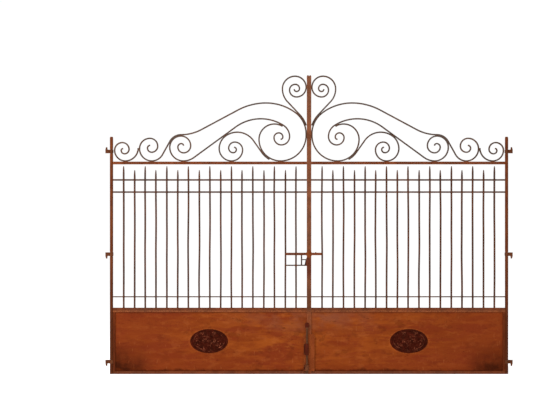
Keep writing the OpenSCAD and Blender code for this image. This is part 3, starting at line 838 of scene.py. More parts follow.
def mark_wear(mesh: bpy.types.Mesh, wear_and_highlight_share: np.ndarray | None) -> None:
    """Store how light each point is made: for wearing where it stands proud, and for a painted highlight
    where a piece asks for one.

    Args:
        mesh: The piece's mesh.
        wear_and_highlight_share: The values, or None to find them from how convex the surface is.
    """
    if wear_and_highlight_share is None:
        count = len(mesh.vertices)
        place, normal = np.zeros(count * 3), np.zeros(count * 3)
        mesh.vertices.foreach_get("co", place)
        mesh.vertex_normals.foreach_get("vector", normal)
        place, normal = place.reshape(-1, 3), normal.reshape(-1, 3)
        ends = np.zeros(len(mesh.edges) * 2, dtype=np.int64)
        mesh.edges.foreach_get("vertices", ends)
        a, b = ends.reshape(-1, 2).T
        away = place[a] - place[b]
        away /= np.maximum(np.linalg.norm(away, axis=1, keepdims=True), 1e-9)
        proud, seen = np.zeros(count), np.ones(count) * 1e-6
        np.add.at(proud, a, (normal[a] * away).sum(axis=1))
        np.add.at(proud, b, -(normal[b] * away).sum(axis=1))
        np.add.at(seen, a, 1)
        np.add.at(seen, b, 1)
        wear_and_highlight_share = np.clip(proud / seen * 4.0 - 0.1, 0, 1)
    layer = mesh.attributes.new("wear", "FLOAT", "POINT")
    layer.data.foreach_set("value", np.asarray(wear_and_highlight_share, dtype=np.float32))


def settle(obj: bpy.types.Object, body: str, iron: Iron, nodes: Sequence[str],
           crease: float = 32.0, wear_and_highlight_share: np.ndarray | None = None) -> bpy.types.Object:
    """Finish a piece: faces outwards, shading, finish, body and the CAD nodes it stands for.

    Args:
        obj: The piece, in place.
        body: The CAD body it rides on.
        iron: Its finish.
        nodes: The CAD nodes it replaces.
        crease: Angle past which an edge shades sharp, in degrees.
        wear_and_highlight_share: Lightening by wearing and by painted highlights, where the piece sets
            this itself.

    Returns:
        The same object.
    """
    work = bmesh.new()
    work.from_mesh(obj.data)
    if wear_and_highlight_share is None:
        bmesh.ops.remove_doubles(work, verts=work.verts, dist=1e-6)
    bmesh.ops.recalc_face_normals(work, faces=work.faces)
    work.to_mesh(obj.data)
    work.free()
    mark_wear(obj.data, wear_and_highlight_share)
    obj.data.shade_smooth()
    obj.data.set_sharp_from_angle(angle=math.radians(crease))
    iron.dress(obj)
    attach(obj, body)
    if nodes:
        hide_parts(*nodes)
    LOG.info("%s: %d faces on %s", obj.name, len(obj.data.polygons), body)
    return obj


def make(name: str, shape: Shape, side: Side, body: str, iron: Iron, nodes: Sequence[str] = (),
         crease: float = 32.0, wear_and_highlight_share: np.ndarray | None = None) -> bpy.types.Object:
    """Turn a leaf shape into a finished piece.

    Args:
        name: Name of the piece.
        shape: Its closed mesh, in leaf millimetres.
        side: The leaf.
        body: The CAD body it rides on.
        iron: Its finish.
        nodes: The CAD nodes it replaces.
        crease: Angle past which an edge shades sharp, in degrees.
        wear_and_highlight_share: Lightening by wearing and by painted highlights, where the piece sets
            this itself.

    Returns:
        The object.
    """
    mesh = bpy.data.meshes.new(name)
    mesh.from_pydata(to_row(shape.points, side).tolist(), [], shape.faces)
    obj = bpy.data.objects.new(name, mesh)
    bpy.context.scene.collection.objects.link(obj)
    return settle(obj, body, iron, nodes, crease, wear_and_highlight_share)


def grow(name: str, points: np.ndarray, edges: Sequence[tuple[int, int]], faces: Sequence,
         tree: Callable, body: str, iron: Iron, nodes: Sequence[str] = (), **inputs: Any
         ) -> bpy.types.Object:
    """Run a Geometry Nodes tree over a small mesh and keep the result as a plain mesh.

    Args:
        name: Name of the piece.
        points: Rows of x, y, z, in row metres.
        edges: Edges of the small mesh.
        faces: Faces of the small mesh.
        tree: One of ShapeTrees' builders.
        body: The CAD body the piece rides on.
        iron: Its finish.
        nodes: The CAD nodes it replaces.
        **inputs: The tree's inputs, with underscores for spaces.

    Returns:
        The finished object.
    """
    mesh = bpy.data.meshes.new(name)
    mesh.from_pydata(points.tolist(), list(edges), list(faces))
    obj = bpy.data.objects.new(name, mesh)
    bpy.context.scene.collection.objects.link(obj)
    group, ids = ShapeTrees.take(tree.__name__, tree)
    grown = obj.modifiers.new("grow", "NODES")
    grown.node_group = group
    grown[ids["Material"]] = iron.value.material()
    for key, value in inputs.items():
        grown[ids[key.replace("_", " ")]] = value
    view = bpy.context.evaluated_depsgraph_get()
    result = bpy.data.meshes.new_from_object(obj.evaluated_get(view))
    obj.modifiers.clear()
    obj.data = result
    bpy.data.meshes.remove(mesh)
    return settle(obj, body, iron, nodes)


# ------------------------------------------------------------------ scroll geometry


def on(c: Sequence[float], r: float, a: float) -> tuple[float, float]:
    """Point on a circle at an angle in degrees."""
    return (c[0] + r * math.cos(math.radians(a)), c[1] + r * math.sin(math.radians(a)))


def spiral(p: Sequence[float], a: float, radii: Sequence[float], s: int) -> Chain:
    """Quarter turns of falling radius.

    Args:
        p: Where the first one starts.
        a: The start's angle, seen from the centre.
        radii: Radius of each quarter turn.
        s: 1 for left-hand turns, -1 for right-hand ones.

    Returns:
        The chain of arcs.
    """
    out: Chain = []
    for r in radii:
        c = on(p, -r, a)
        out.append((c, r, a, a + 90 * s))
        p, a = on(c, r, a + 90 * s), a + 90 * s
    return out


def turned_round(arcs: Chain) -> Chain:
    """The chain run from its other end."""
    return [(c, r, b, a) for c, r, a, b in reversed(arcs)]


def crossing(c1: Sequence[float], r1: float, c2: Sequence[float], r2: float, s: int) -> float:
    """Heading of the straight from circle 1 to the other side of circle 2, in degrees."""
    dx, dz = c2[0] - c1[0], c2[1] - c1[1]
    return math.degrees(math.atan2(dz, dx) + s * math.asin((r1 + r2) / math.hypot(dx, dz)))


def centreline(arcs: Chain, step: float = 4.0) -> np.ndarray:
    """Points along a chain, with the straights between its arcs.

    Args:
        arcs: The chain.
        step: Greatest distance between points on an arc.

    Returns:
        Rows of x, z.
    """
    out: list[tuple[float, float]] = []
    for c, r, a, b in arcs:
        n = max(2, math.ceil(math.radians(abs(b - a)) * r / step))
        for i in range(n + 1):
            p = on(c, r, a + (b - a) * i / n)
            if not out or math.dist(p, out[-1]) > 0.05:
                out.append(p)
    return np.array(out)


class ScrollPattern:
    """The crest of one leaf: six bars, each a chain of tangent arcs."""

    def __init__(self, sizes: GateSizes) -> None:
        """Work out the shared circles.

        Args:
            sizes: The gate's sizes.
        """
        k, t, z = sizes.k, sizes.bar_t, sizes.foot_z
        self.k, self.t, self.z, self.sizes = k, t, z, sizes
        self.end_foot = 20 + 5 + t / 2 + 108 * k
        self.second_foot = 408 * k
        self.long_foot = (728 * k, z)
        self.long_coil = self.falling(self.long_foot, -90, (138, 114, 98, 72, 58, 36, 22), -1)
        self.shoulder_c = self.long_coil[1][0]
        self.shoulder_r = self.long_coil[1][1] + t + sizes.lay_seat
        self.dome_r, self.dome_fall = 430 * k, 32.0
        self.dome_c = (1512 * k, z + 427 * k - self.dome_r)
        self.rise_r = 181 * k
        self.rise_c = (self.long_foot[0], z + self.rise_r)
        self.rise_h = crossing(self.rise_c, self.rise_r, self.dome_c, self.dome_r, 1)
        self.touch_x = sizes.meet_in - sizes.seat - t / 2
        self.loop_left_r = 218 * k
        mid_z = z + self.loop_left_r
        inner_r = self.dome_r - t - sizes.seat
        fall = math.cos(math.radians(self.dome_fall))
        self.loop_end_r = inner_r - (mid_z - self.dome_c[1]) / fall
        self.loop_end_c = on(self.dome_c, inner_r - self.loop_end_r, 90 - self.dome_fall)
        self.loop_foot_x = self.loop_end_c[0] - self.loop_end_r + self.loop_left_r
        self.loop_c = (self.loop_foot_x, mid_z)
        self.crest_r, self.flank_r, self.crest_fall = 500 * k, 605 * k, 36.0
        top = (1566 * k, z + 587 * k)
        self.flank_c = (top[0], top[1] - self.flank_r)
        self.crest_c = (top[0], top[1] - self.crest_r)
        start = on(self.crest_c, self.crest_r, 90 - self.crest_fall)
        lean = math.radians(self.crest_fall)
        self.fall_r = (self.touch_x - start[0]) / (1 - math.sin(lean))
        self.fall_c = (self.touch_x - self.fall_r, start[1] - self.fall_r * math.cos(lean))

    def falling(self, p: Sequence[float], a: float, radii: Sequence[float], s: int) -> Chain:
        """A spiral whose radii follow the pattern's scale."""
        return spiral(p, a, [r * self.k for r in radii], s)

    def end_scroll(self) -> Chain:
        """The scroll beside the hanging stile."""
        foot = (self.end_foot, self.z)
        tail_r = self.second_foot - 124 * self.k - self.t - self.sizes.seat - self.end_foot
        coil = self.falling(foot, -90, (108, 78, 68, 46, 34, 20), -1)
        return turned_round(coil) + spiral(foot, -90, [tail_r], 1)

    def second_scroll(self) -> Chain:
        """The scroll whose tail lies on the long scroll's shoulder."""
        foot, turn_r = (self.second_foot, self.z), 124 * self.k
        turn_c = (foot[0], foot[1] + turn_r)
        h = crossing(turn_c, turn_r, self.shoulder_c, self.shoulder_r, 1)
        coil = self.falling(foot, -90, (124, 105, 79, 62, 42, 28), -1)
        return turned_round(coil) + [(turn_c, turn_r, -90, h - 90),
                                     (self.shoulder_c, self.shoulder_r, h + 90, 90)]

    def long_scroll(self) -> Chain:
        """The long bar that coils at both ends."""
        end_r = 136 * self.k
        end_c = on(self.dome_c, self.dome_r - end_r, 90 - self.dome_fall)
        inner = self.falling(on(end_c, end_r, 0), 0, (84, 74, 48, 42, 24), -1)
        return turned_round(self.long_coil) + [
            (self.rise_c, self.rise_r, -90, self.rise_h - 90),
            (self.dome_c, self.dome_r, self.rise_h + 90, 90 - self.dome_fall),
            (end_c, end_r, 90 - self.dome_fall, 0)] + inner

    def crest_bar(self) -> Chain:
        """The crest, which falls down the meeting stile and loops back."""
        dip_r = 437 * self.k
        dip_c = (self.shoulder_c[0] + self.sizes.seat, self.shoulder_c[1] + self.shoulder_r + dip_r)
        h = crossing(dip_c, dip_r, self.flank_c, self.flank_r, 1)
        loop_r = self.touch_x - self.loop_foot_x
        return [(dip_c, dip_r, -90, h - 90), (self.flank_c, self.flank_r, h + 90, 90),
                (self.crest_c, self.crest_r, 90, 90 - self.crest_fall),
                (self.fall_c, self.fall_r, 90 - self.crest_fall, 0),
                ((self.loop_foot_x, self.z + loop_r), loop_r, 0, -90),
                (self.loop_c, self.loop_left_r, -90, -180),
                (self.loop_end_c, self.loop_end_r, -180, -270 - self.dome_fall)]

    def middle_scroll(self) -> Chain:
        """The scroll under the long scroll's straight."""
        k, z = self.k, self.z
        left_r, brow_r, back_r = 125 * k, 158 * k, 200 * k
        mid_z = z + left_r
        start = on(self.rise_c, self.rise_r, self.rise_h - 90)
        h0 = math.radians(self.rise_h)
        away = brow_r + self.t + self.sizes.seat + (mid_z - start[1]) * math.cos(h0)
        brow_c = (start[0] + away / math.sin(h0), mid_z)
        back_c = on(brow_c, brow_r - back_r, self.rise_h + 90)
        lay_r = self.loop_left_r + self.t + self.sizes.lay_seat
        h = crossing(back_c, back_r, self.loop_c, lay_r, -1)
        foot = (brow_c[0] - brow_r + left_r, z)
        coil = self.falling(foot, -90, (112, 79, 62, 46, 32, 24), 1)
        return turned_round(coil) + [((foot[0], mid_z), left_r, -90, -180),
                                     (brow_c, brow_r, 180, self.rise_h + 90),
                                     (back_c, back_r, self.rise_h + 90, h + 90),
                                     (self.loop_c, lay_r, h - 90, h - 64)]

    def top_scroll(self) -> Chain:
        """Half of the heart against the meeting stile."""
        touch = (self.touch_x, self.z + 746 * self.k)
        outer = self.falling(touch, 0, (112, 128), 1)
        inner = self.falling(touch, 0, (98, 70, 58, 43, 30, 24), -1)
        drop_r = 190 * self.k
        drop_c = on(outer[1][0], outer[1][1] - drop_r, 180)
        lay_r = self.fall_r + self.t + self.sizes.lay_seat
        h = crossing(drop_c, drop_r, self.fall_c, lay_r, 1)
        end = math.degrees(math.acos((self.fall_r + self.t / 2) / (lay_r + self.t / 2)))
        return turned_round(inner) + outer + [(drop_c, drop_r, 180, h + 270),
                                              (self.fall_c, lay_r, h + 90, end)]

    def bars(self) -> dict[str, Chain]:
        """Each bar's name and chain."""
        return {name: getattr(self, name)() for name in (
            "end_scroll", "second_scroll", "long_scroll", "crest_bar", "middle_scroll", "top_scroll")}

    def welds(self) -> list[tuple[float, float]]:
        """Where bars meet the rail, the stile or one another, as x, z."""
        low = self.sizes.top_rail_high + 0.5
        middle_foot = self.middle_scroll()[-4][0][0]
        lay = on(self.loop_c, self.loop_left_r + self.t / 2, self.middle_scroll()[-1][2])
        brow = on(self.middle_scroll()[-3][0], 158 * self.k + self.t / 2, self.rise_h + 90)
        feet = [(x, low) for x in (self.end_foot, self.second_foot, self.long_foot[0], middle_foot,
                                   self.loop_foot_x)]
        stile = self.sizes.meet_in - 0.5
        tail = (self.second_foot - 124 * self.k - self.t / 2, self.z + 118 * self.k)
        joined = on(self.dome_c, self.dome_r - self.t / 2, 90 - self.dome_fall + 4)
        butt = (self.shoulder_c[0], self.shoulder_c[1] + self.shoulder_r - self.t / 2)
        heart = on(self.fall_c, self.fall_r + self.t / 2, 34)
        return feet + [(stile, self.fall_c[1]), (stile, self.z + 746 * self.k), tail, lay, brow,
                       joined, butt, heart]


# ------------------------------------------------------------------ sub-assemblies


@dataclass
class LeafFrame:
    """The stiles and rails of one leaf."""

    side: Side
    stile_top: float = 2384.0
    meeting_top: float = 3003.3
    dome: float = 9.0
    post_r: float = 16.5
    edge_w: float = 24.0
    notch_low: float = 105.4
    notch_high: float = 142.6
    notch_x: float = 20.4
    turned_half: float = 25.0
    rail_extra: float = 2.2
    rail_shift: float = 0.8

    def build(self) -> None:
        """Make and dress the frame's bars."""
        name, body = self.side.value, f"{self.side.value}_leaf"
        seed = 11 if self.side is Side.LEFT else 12
        turned = [z + dz for z in S.collars for dz in (-28.0, -23.0, 23.0, 28.0)]
        heights = sorted([*np.arange(30, 2360, 26.0), *turned])
        stops = [(0.0, 14.2), (1.6, self.post_r), *[(z, self._post_radius(z)) for z in heights],
                 (2377.0, 16.0), (2381.5, 14.0), (2383.4, 10.8), (self.stile_top, 6.0)]
        stile = lathe((0, 0), stops, 28)
        offset = ripple(stile.points, 0.32, 60, seed)
        offset[:, 2] = 0
        stile.points = stile.points + offset
        make(f"{name}_hanging_stile_forged", stile, self.side, body, Iron.POST,
             [f"{name}_hanging_stile"])
        self._meeting_stile(body, seed)
        self._edge_flat(body, seed)
        rail_z = (S.top_rail_low + S.top_rail_high) / 2 - self.rail_shift
        top = bar((S.rail_x, 0, rail_z), (S.meet_in, 0, rail_z), (0, 0, 1),
                  S.top_rail_high - S.top_rail_low + self.rail_extra, S.frame_d, 2.5)
        make(f"{name}_top_rail_forged", top.beaten(0.35, 70, seed + 2), self.side, body, Iron.RAIL,
             [f"{name}_top_rail"])
        panel_z, panel_h = (S.panel_low + S.panel_high) / 2, S.panel_high - S.panel_low
        upper = bar((S.rail_x, 0, panel_z), (S.meet_in, 0, panel_z), (0, 0, 1), panel_h, S.frame_d, 2.2,
                    ledge=(-13.0, -8.0, 4.0))
        lower = bar((S.rail_x, 0, S.bottom_rail_h / 2), (S.meet_in, 0, S.bottom_rail_h / 2), (0, 0, 1),
                    S.bottom_rail_h, S.frame_d, 2.2)
        rails = upper.plus(lower).beaten(0.4, 55, seed + 4)
        # A lighter band along the panel rail's lower edge: a painted highlight, as of a ledge catching
        # the light.
        strip = np.exp(-((rails.points[:, 2] - S.panel_low - 9) / 7.0) ** 2)
        make(f"{name}_panel_rails_forged", rails, self.side, body, Iron.RAIL,
             [f"{name}_panel_rails"], wear_and_highlight_share=strip * 0.7)

    def _post_radius(self, z: float) -> float:
        """Radius of the hanging stile at a height: it is turned down inside each collar."""
        away = min(abs(z - collar) for collar in S.collars)
        return self.post_r if away > self.turned_half else S.stile_r

    def _edge_flat(self, body: str, seed: int) -> None:
        """The flat beside the sheet, notched round the bottom bracket's collar."""
        name = self.side.value
        low, high = S.bottom_rail_h, S.panel_low
        x0, x1 = S.rail_x, S.rail_x + self.edge_w
        more = [z - low + dz for z in (self.notch_low, self.notch_high) for dz in (-0.1, 0.1)]
        flat = bar(((x0 + x1) / 2, 0, low), ((x0 + x1) / 2, 0, high), (1, 0, 0), self.edge_w,
                   S.frame_d, 2.0, more=more).beaten(0.3, 60, seed + 8)
        z = flat.points[:, 2]
        inside = (z > self.notch_low) & (z < self.notch_high)
        flat.points[inside, 0] = np.maximum(flat.points[inside, 0], self.notch_x)
        # Its darker finish is painted shade.
        make(f"{name}_edge_flat_forged", flat, self.side, body, Iron.SHADED, [f"{name}_edge_flat"])

    def _meeting_stile(self, body: str, seed: int) -> None:
        """The flat stile by the gap, with a hammered dome on its top."""
        name = self.side.value
        x0, x1 = S.meet_in, S.half_w - S.gap_half
        x, w = (x0 + x1) / 2, x1 - x0
        outline = rounded(w, S.frame_d, 2.0)
        corner = (outline[:, 0] > w / 2 - 1.9) & (np.abs(outline[:, 1]) > S.frame_d / 2 - 1.9)
        outline[corner] = np.sign(outline[corner]) * np.array([w / 2 - 0.1, S.frame_d / 2 - 0.1])

        def ring(z: float, scale: float = 1.0) -> np.ndarray:
            """The stile's section at a height, held under its domed top."""
            flat = outline * scale
            roof = self.meeting_top - self.dome * (2 * flat[:, 0] / w) ** 2 \
                - self.dome * 0.5 * (2 * flat[:, 1] / S.frame_d) ** 2
            return np.column_stack([x + flat[:, 0], flat[:, 1], np.minimum(z, roof)])

        heights = [0.0, *np.arange(20, self.meeting_top - 24, 18.0)]
        rings = [ring(z) for z in heights] + [ring(self.meeting_top - 17)]
        rings += [ring(self.meeting_top, scale) for scale in (1.0, 0.85, 0.6, 0.35, 0.12)]
        straight = ringed(rings)
        stile = straight.beaten(0.3, 65, seed + 6)
        stile.points[:, 0] = np.where(straight.points[:, 0] > x1 - 0.3, straight.points[:, 0],
                                      stile.points[:, 0])
        edge = np.where(straight.points[:, 0] < x0 + 0.7, 0.8, 0.0)
        make(f"{name}_meeting_stile_forged", stile, self.side, body, Iron.FRAME,
             [f"{name}_meeting_stile"], wear_and_highlight_share=edge)


@dataclass
class PicketField:
    """The pointed pickets of one leaf and the rails that hold them."""

    side: Side
    count: int = 17
    w: float = 17.4
    rail_d: float = 30.0
    foot: float = 666.2
    point: float = 74.0
    tall_tip: float = 2090.0
    short_tip: float = 2051.0
    rails: tuple[tuple[float, float], ...] = ((1950.0, 16.2), (1828.0, 16.2), (776.0, 10.4))

    def picket_x(self, i: int) -> float:
        """Place of a picket, counted from the hinge side."""
        return S.rail_x + (S.meet_in - S.rail_x) * (i + 1) / (self.count + 1)

    def _picket(self, tip: float) -> Shape:
        """One square bar with a drawn point, standing on the leaf's origin."""
        outline = rounded(self.w, self.w, 1.6)
        rings = []
        shoulder = tip - self.point
        for z in [*np.arange(self.foot, shoulder - 20, 43.0), shoulder]:
            rings.append(np.column_stack([outline, np.full(len(outline), z)]))
        for share, scale in ((0.2, 0.98), (0.45, 0.88), (0.68, 0.75), (0.84, 0.62), (0.94, 0.45),
                             (1.0, 0.12)):
            z = shoulder + self.point * share
            rings.append(np.column_stack([outline * scale, np.full(len(outline), z)]))
        return ringed(rings).beaten(0.25, 45, 21)

    def build(self) -> None:
        """Make both rows of pickets, their rails and the collars where they cross."""
        name, body = self.side.value, f"{self.side.value}_leaf"
        sign = 1 if self.side is Side.LEFT else -1
        pitch = (self.picket_x(1) - self.picket_x(0)) * 2 * MM
        for row, first, count, tip, seed in (("tall", 0, 9, self.tall_tip, 3),
                                             ("short", 1, 8, self.short_tip, 8)):
            shape = self._picket(tip)
            start = to_row(np.array([[self.picket_x(first), 0, 0]]), self.side)[0]
            grow(f"{name}_{row}_pickets_forged", shape.points * MM, (), shape.faces,
                 ShapeTrees.picket_row, body, Iron.BAR, [f"{name}_{row}_pickets"],
                 Count=count, Start=tuple(start), Spacing=(sign * pitch, 0.0, 0.0),
                 Foot=(self.foot - S.foot_drop) * MM, Length=(tip - self.foot) * MM,
                 Lean=0.0012, Bow=0.0045, Seed=seed + (0 if sign > 0 else 20))
        self._rails(body)

    def _rails(self, body: str) -> None:
        """The three rails, swollen where a picket passes."""
        name = self.side.value
        whole = Shape.empty()
        crossings: list[tuple[float, float]] = []
        for z, h in self.rails:
            rail = bar((S.rail_x, 0, z), (S.meet_in, 0, z), (0, 0, 1), h, self.rail_d * 0.8, 1.8, 9.0)
            swell = np.zeros(len(rail.points))
            for i in range(self.count):
                swell += np.exp(-((rail.points[:, 0] - self.picket_x(i)) / 13.0) ** 2)
                crossings.append((self.picket_x(i), z))
            rail.points[:, 1] *= 1 + 0.25 * np.clip(swell, 0, 1)
            rail.points[:, 2] = z + (rail.points[:, 2] - z) * (1 + 0.06 * np.clip(swell, 0, 1))
            whole = whole.plus(rail.beaten(0.3, 60, int(z)))
        make(f"{name}_picket_rails_forged", whole, self.side, body, Iron.BAR,
             [f"{name}_picket_rails"])
        beads = [(x + dx, y, z) for x, z in crossings for dx in (-7.0, 7.0) for y in (-14.6, 14.6)]
        place = to_row(np.array(beads), self.side)
        grow(f"{name}_picket_beads", place, (), (), ShapeTrees.studs, body, Iron.BAR,
             Radius=0.0032, Height=0.0016, Jitter=0.35, Lumps=0.002, Segments=8, Seed=5)


@dataclass
class Panel:
    """The sheet of one leaf with its edge bar, rivets and oval casting."""

    side: Side
    sheet_t: float = 3.0
    flat_in: float = 39.3
    oval_a: float = 190.0
    oval_b: float = 121.0
    rim: float = 12.0
    oval_z: float = 330.0

    @property
    def oval_x(self) -> float:
        """Place of the casting's middle."""
        return S.meet_in / 2

    def build(self) -> None:
        """Make and dress the panel."""
        self._sheet()
        self._casting()
        self._rivets()

    def _sheet(self) -> None:
        """The sheet, a little buckled, with its oval hole."""
        a, b = self.oval_a - self.rim + 0.4, self.oval_b - self.rim + 0.4
        x0, x1 = self.flat_in - self.oval_x, S.meet_in - self.oval_x
        z0, z1 = S.bottom_rail_h - self.oval_z, S.panel_low - self.oval_z
        angles: list[float] = []
        for p, q in (((x1, z0), (x1, z1)), ((x1, z1), (x0, z1)), ((x0, z1), (x0, z0)),
                     ((x0, z0), (x1, z0))):
            n = 34 if abs(p[0] - q[0]) < 1 else 110
            for s in np.linspace(0, 1, n, endpoint=False):
                angles.append(math.atan2(p[1] + (q[1] - p[1]) * s, p[0] + (q[0] - p[0]) * s))
        t = np.array(angles)
        c, s = np.cos(t), np.sin(t)
        reach = np.minimum(np.where(c > 0, x1, x0) / np.where(np.abs(c) < 1e-9, 1e-9, c),
                           np.where(s > 0, z1, z0) / np.where(np.abs(s) < 1e-9, 1e-9, s))
        oval = a * b / np.hypot(b * c, a * s)
        shares = np.linspace(0, 1, 42) ** 1.15
        faces, rings = [], []
        for y in (-self.sheet_t / 2, self.sheet_t / 2):
            for share in shares:
                r = oval + (reach - oval) * share
                rings.append(np.column_stack([self.oval_x + r * c, np.full(len(t), y),
                                              self.oval_z + r * s]))
        n, m = len(t), len(shares)
        for base, flip in ((0, False), (n * m, True)):
            for r in range(m - 1):
                for i in range(n):
                    quad = (base + r * n + i, base + r * n + (i + 1) % n,
                            base + (r + 1) * n + (i + 1) % n, base + (r + 1) * n + i)
                    faces.append(quad[::-1] if flip else quad)
        for ring, other in ((0, n * m), (n * (m - 1), n * (2 * m - 1))):
            faces += [(ring + i, other + i, other + (i + 1) % n, ring + (i + 1) % n) for i in range(n)]
        points = np.vstack(rings)
        away = np.minimum.reduce([points[:, 0] - self.flat_in, S.meet_in - points[:, 0],
                                  points[:, 2] - S.bottom_rail_h, S.panel_low - points[:, 2]])
        from_oval = np.hypot((points[:, 0] - self.oval_x) / a, (points[:, 2] - self.oval_z) / b) - 1
        free = np.clip(away / 90, 0, 1) * np.clip(from_oval * 2, 0, 1)
        buckle = ripple(points * np.array([1, 0, 1.6]), 9.0, 700, 41 + len(self.side.value))
        dents = ripple(points * np.array([1, 0, 1]), 1.6, 130, 47 + len(self.side.value))
        points[:, 1] += (buckle + dents)[:, 1] * free * 0.8
        # A pale ring on the sheet just outside the casting: a painted highlight along its rim.
        beyond = np.hypot((points[:, 0] - self.oval_x) / self.oval_a,
                          (points[:, 2] - self.oval_z) / self.oval_b) * self.oval_b - self.oval_b
        painted_highlight_and_wear = np.exp(-((beyond - 2.0) / 6.0) ** 2) * 0.5
        make(f"{self.side.value}_sheet_buckled", Shape(points, faces), self.side,
             f"{self.side.value}_leaf", Iron.SHEET, [f"{self.side.value}_sheet"], wear_and_highlight_share=painted_highlight_and_wear)

    def _relief(self, x: np.ndarray, z: np.ndarray) -> np.ndarray:
        """Height of the foliage over the casting's ground, 0 to 1, mirrored about its middle.

        Args:
            x: Distances from the middle, along the oval.
            z: Distances from the middle, upwards.

        Returns:
            The height at each point.
        """
        x = np.abs(x)
        high = np.zeros_like(x)

        def leaf(px: float, pz: float, heading: float, length: float, width: float,
                 top: float = 1.0) -> None:
            """Raise one leaf with a rib down its middle."""
            h = math.radians(heading)
            u = ((x - px) * math.cos(h) + (z - pz) * math.sin(h)) / length
            v = (-(x - px) * math.sin(h) + (z - pz) * math.cos(h)) / width
            shape = np.clip(u, 0, 1) ** 0.55 * np.clip(1 - u, 0, 1) ** 0.45 * 1.9
            inside = np.clip(1 - (v / np.maximum(shape, 1e-3)) ** 2, 0, 1)
            rib = 1 - 0.32 * np.exp(-(v / 0.16) ** 2)
            np.maximum(high, np.where((u > 0) & (u < 1), top * inside ** 0.5 * rib, 0), out=high)

        def berry(px: float, pz: float, r: float, top: float = 1.0) -> None:
            """Raise a round boss."""
            d = np.hypot(x - px, z - pz) / r
            np.maximum(high, top * np.sqrt(np.clip(1 - d * d, 0, 1)), out=high)

        def curl(cx: float, cz: float, r: float, start: float, turn: float) -> None:
            """Raise a stem that winds in to a berry, with leaves along its outer side."""
            for i in range(25):
                a = math.radians(start + turn * i / 24)
                reach = r * (1 - 0.72 * i / 24)
                px, pz = cx + reach * math.cos(a), cz + reach * math.sin(a)
                berry(px, pz, 4.2 - 0.06 * i, 0.62)
                if i % 3 == 1:
                    way = math.degrees(a) + (40 if turn > 0 else -40)
                    leaf(px, pz, way, 21 - 0.45 * i, 6.2, 0.95)
                    leaf(px, pz, way + 150, 13 - 0.3 * i, 4.4, 0.8)
            berry(cx, cz, 6.4, 1.1)

        for n in range(38):
            a = math.radians(-91 + n * 4.95)
            leaf(158 * math.cos(a), 92 * math.sin(a), -91 + n * 4.95 + 100, 18, 5.6, 0.9)
            berry(170 * math.cos(a + 0.04), 103 * math.sin(a + 0.04), 3.6, 1.0)
        curl(128, 4, 33, 110, 430)
        curl(82, 44, 25, 200, -400)
        curl(80, -46, 26, 140, 410)
        curl(45, 0, 21, 250, -380)
        curl(30, 64, 18, 300, 400)
        curl(29, -65, 18, 60, -400)
        for heading in range(-90, 91, 30):
            leaf(2, 0, heading, 20, 5.4, 0.8)
        berry(0, 0, 6.5, 0.85)
        for px, pz, heading in ((8, 34, 78), (9, 30, 20), (8, -34, -78), (10, -31, -20), (104, 52, 10),
                                (102, -54, -12)):
            leaf(px, pz, heading, 20, 6.0, 0.9)
        return np.clip(high, 0, 1.1)

    def _casting(self) -> None:
        """The oval casting, with relief on its inner face and a hollower reverse."""
        sides, rings = 340, 84
        t = np.linspace(0, 2 * math.pi, sides, endpoint=False)
        layers: list[np.ndarray] = []
        inner_a, inner_b = self.oval_a - self.rim, self.oval_b - self.rim
        for r in np.linspace(0, 1, rings)[1:]:
            layers.append(np.column_stack([self.oval_a * r * np.cos(t), np.zeros(sides),
                                           self.oval_b * r * np.sin(t)]))
        front = np.vstack([[[0.0, 0.0, 0.0]], *layers])
        x, z = front[:, 0], front[:, 2]
        out = np.hypot(x / self.oval_a, z / self.oval_b)
        edge = (1 - out) * self.oval_b
        bead = np.sqrt(np.clip(1 - ((edge - 3.8) / 3.8) ** 2, 0, 1)) * 5.0
        lip = np.sqrt(np.clip(1 - ((edge - 9.6) / 1.8) ** 2, 0, 1)) * 2.4
        field = np.clip((edge - 10) / 4, 0, 1)
        ground = 3.4 - 0.9 * field
        foliage = self._relief(x, z) * 8.3 * field
        sand = ripple(front, 0.35, 9, 61)[:, 1]
        height = np.clip(np.maximum(ground + np.maximum(bead, lip), ground + foliage + sand), 0.6, 11.9)
        height[-sides:] = 0.3
        front[:, 1] = -self.sheet_t / 2 - height
        back_layers = []
        for r in np.linspace(1, 0, 36)[:-1]:
            back_layers.append(np.column_stack([inner_a * r * np.cos(t), np.zeros(sides),
                                                inner_b * r * np.sin(t)]))
        back = np.vstack([*back_layers, [[0.0, 0.0, 0.0]]])
        deep = (1 - np.hypot(back[:, 0] / inner_a, back[:, 2] / inner_b)) * inner_b
        hollow = 5.6 - 3.4 * np.clip((deep - 6) / 8, 0, 1)
        hollow = hollow + self._relief(back[:, 0], back[:, 2]) * 2.4 * np.clip((deep - 12) / 8, 0, 1)
        back[:, 1] = self.sheet_t / 2 + hollow
        back[:sides, 1] = self.sheet_t / 2 + 0.4
        neck = np.column_stack([inner_a * np.cos(t), np.full(sides, -self.sheet_t / 2 - 0.3),
                                inner_b * np.sin(t)])
        points = np.vstack([front, neck, back]) + np.array([self.oval_x, 0, self.oval_z])
        faces: list[tuple[int, ...]] = [(0, 1 + (i + 1) % sides, 1 + i) for i in range(sides)]
        starts = [1 + r * sides for r in range(rings - 1)] + [len(front)]
        starts += [len(front) + sides * (1 + r) for r in range(35)]
        for p, q in zip(starts, starts[1:]):
            faces += [(p + i, p + (i + 1) % sides, q + (i + 1) % sides, q + i) for i in range(sides)]
        last, tip = starts[-1], len(points) - 1
        faces += [(last + i, last + (i + 1) % sides, tip) for i in range(sides)]
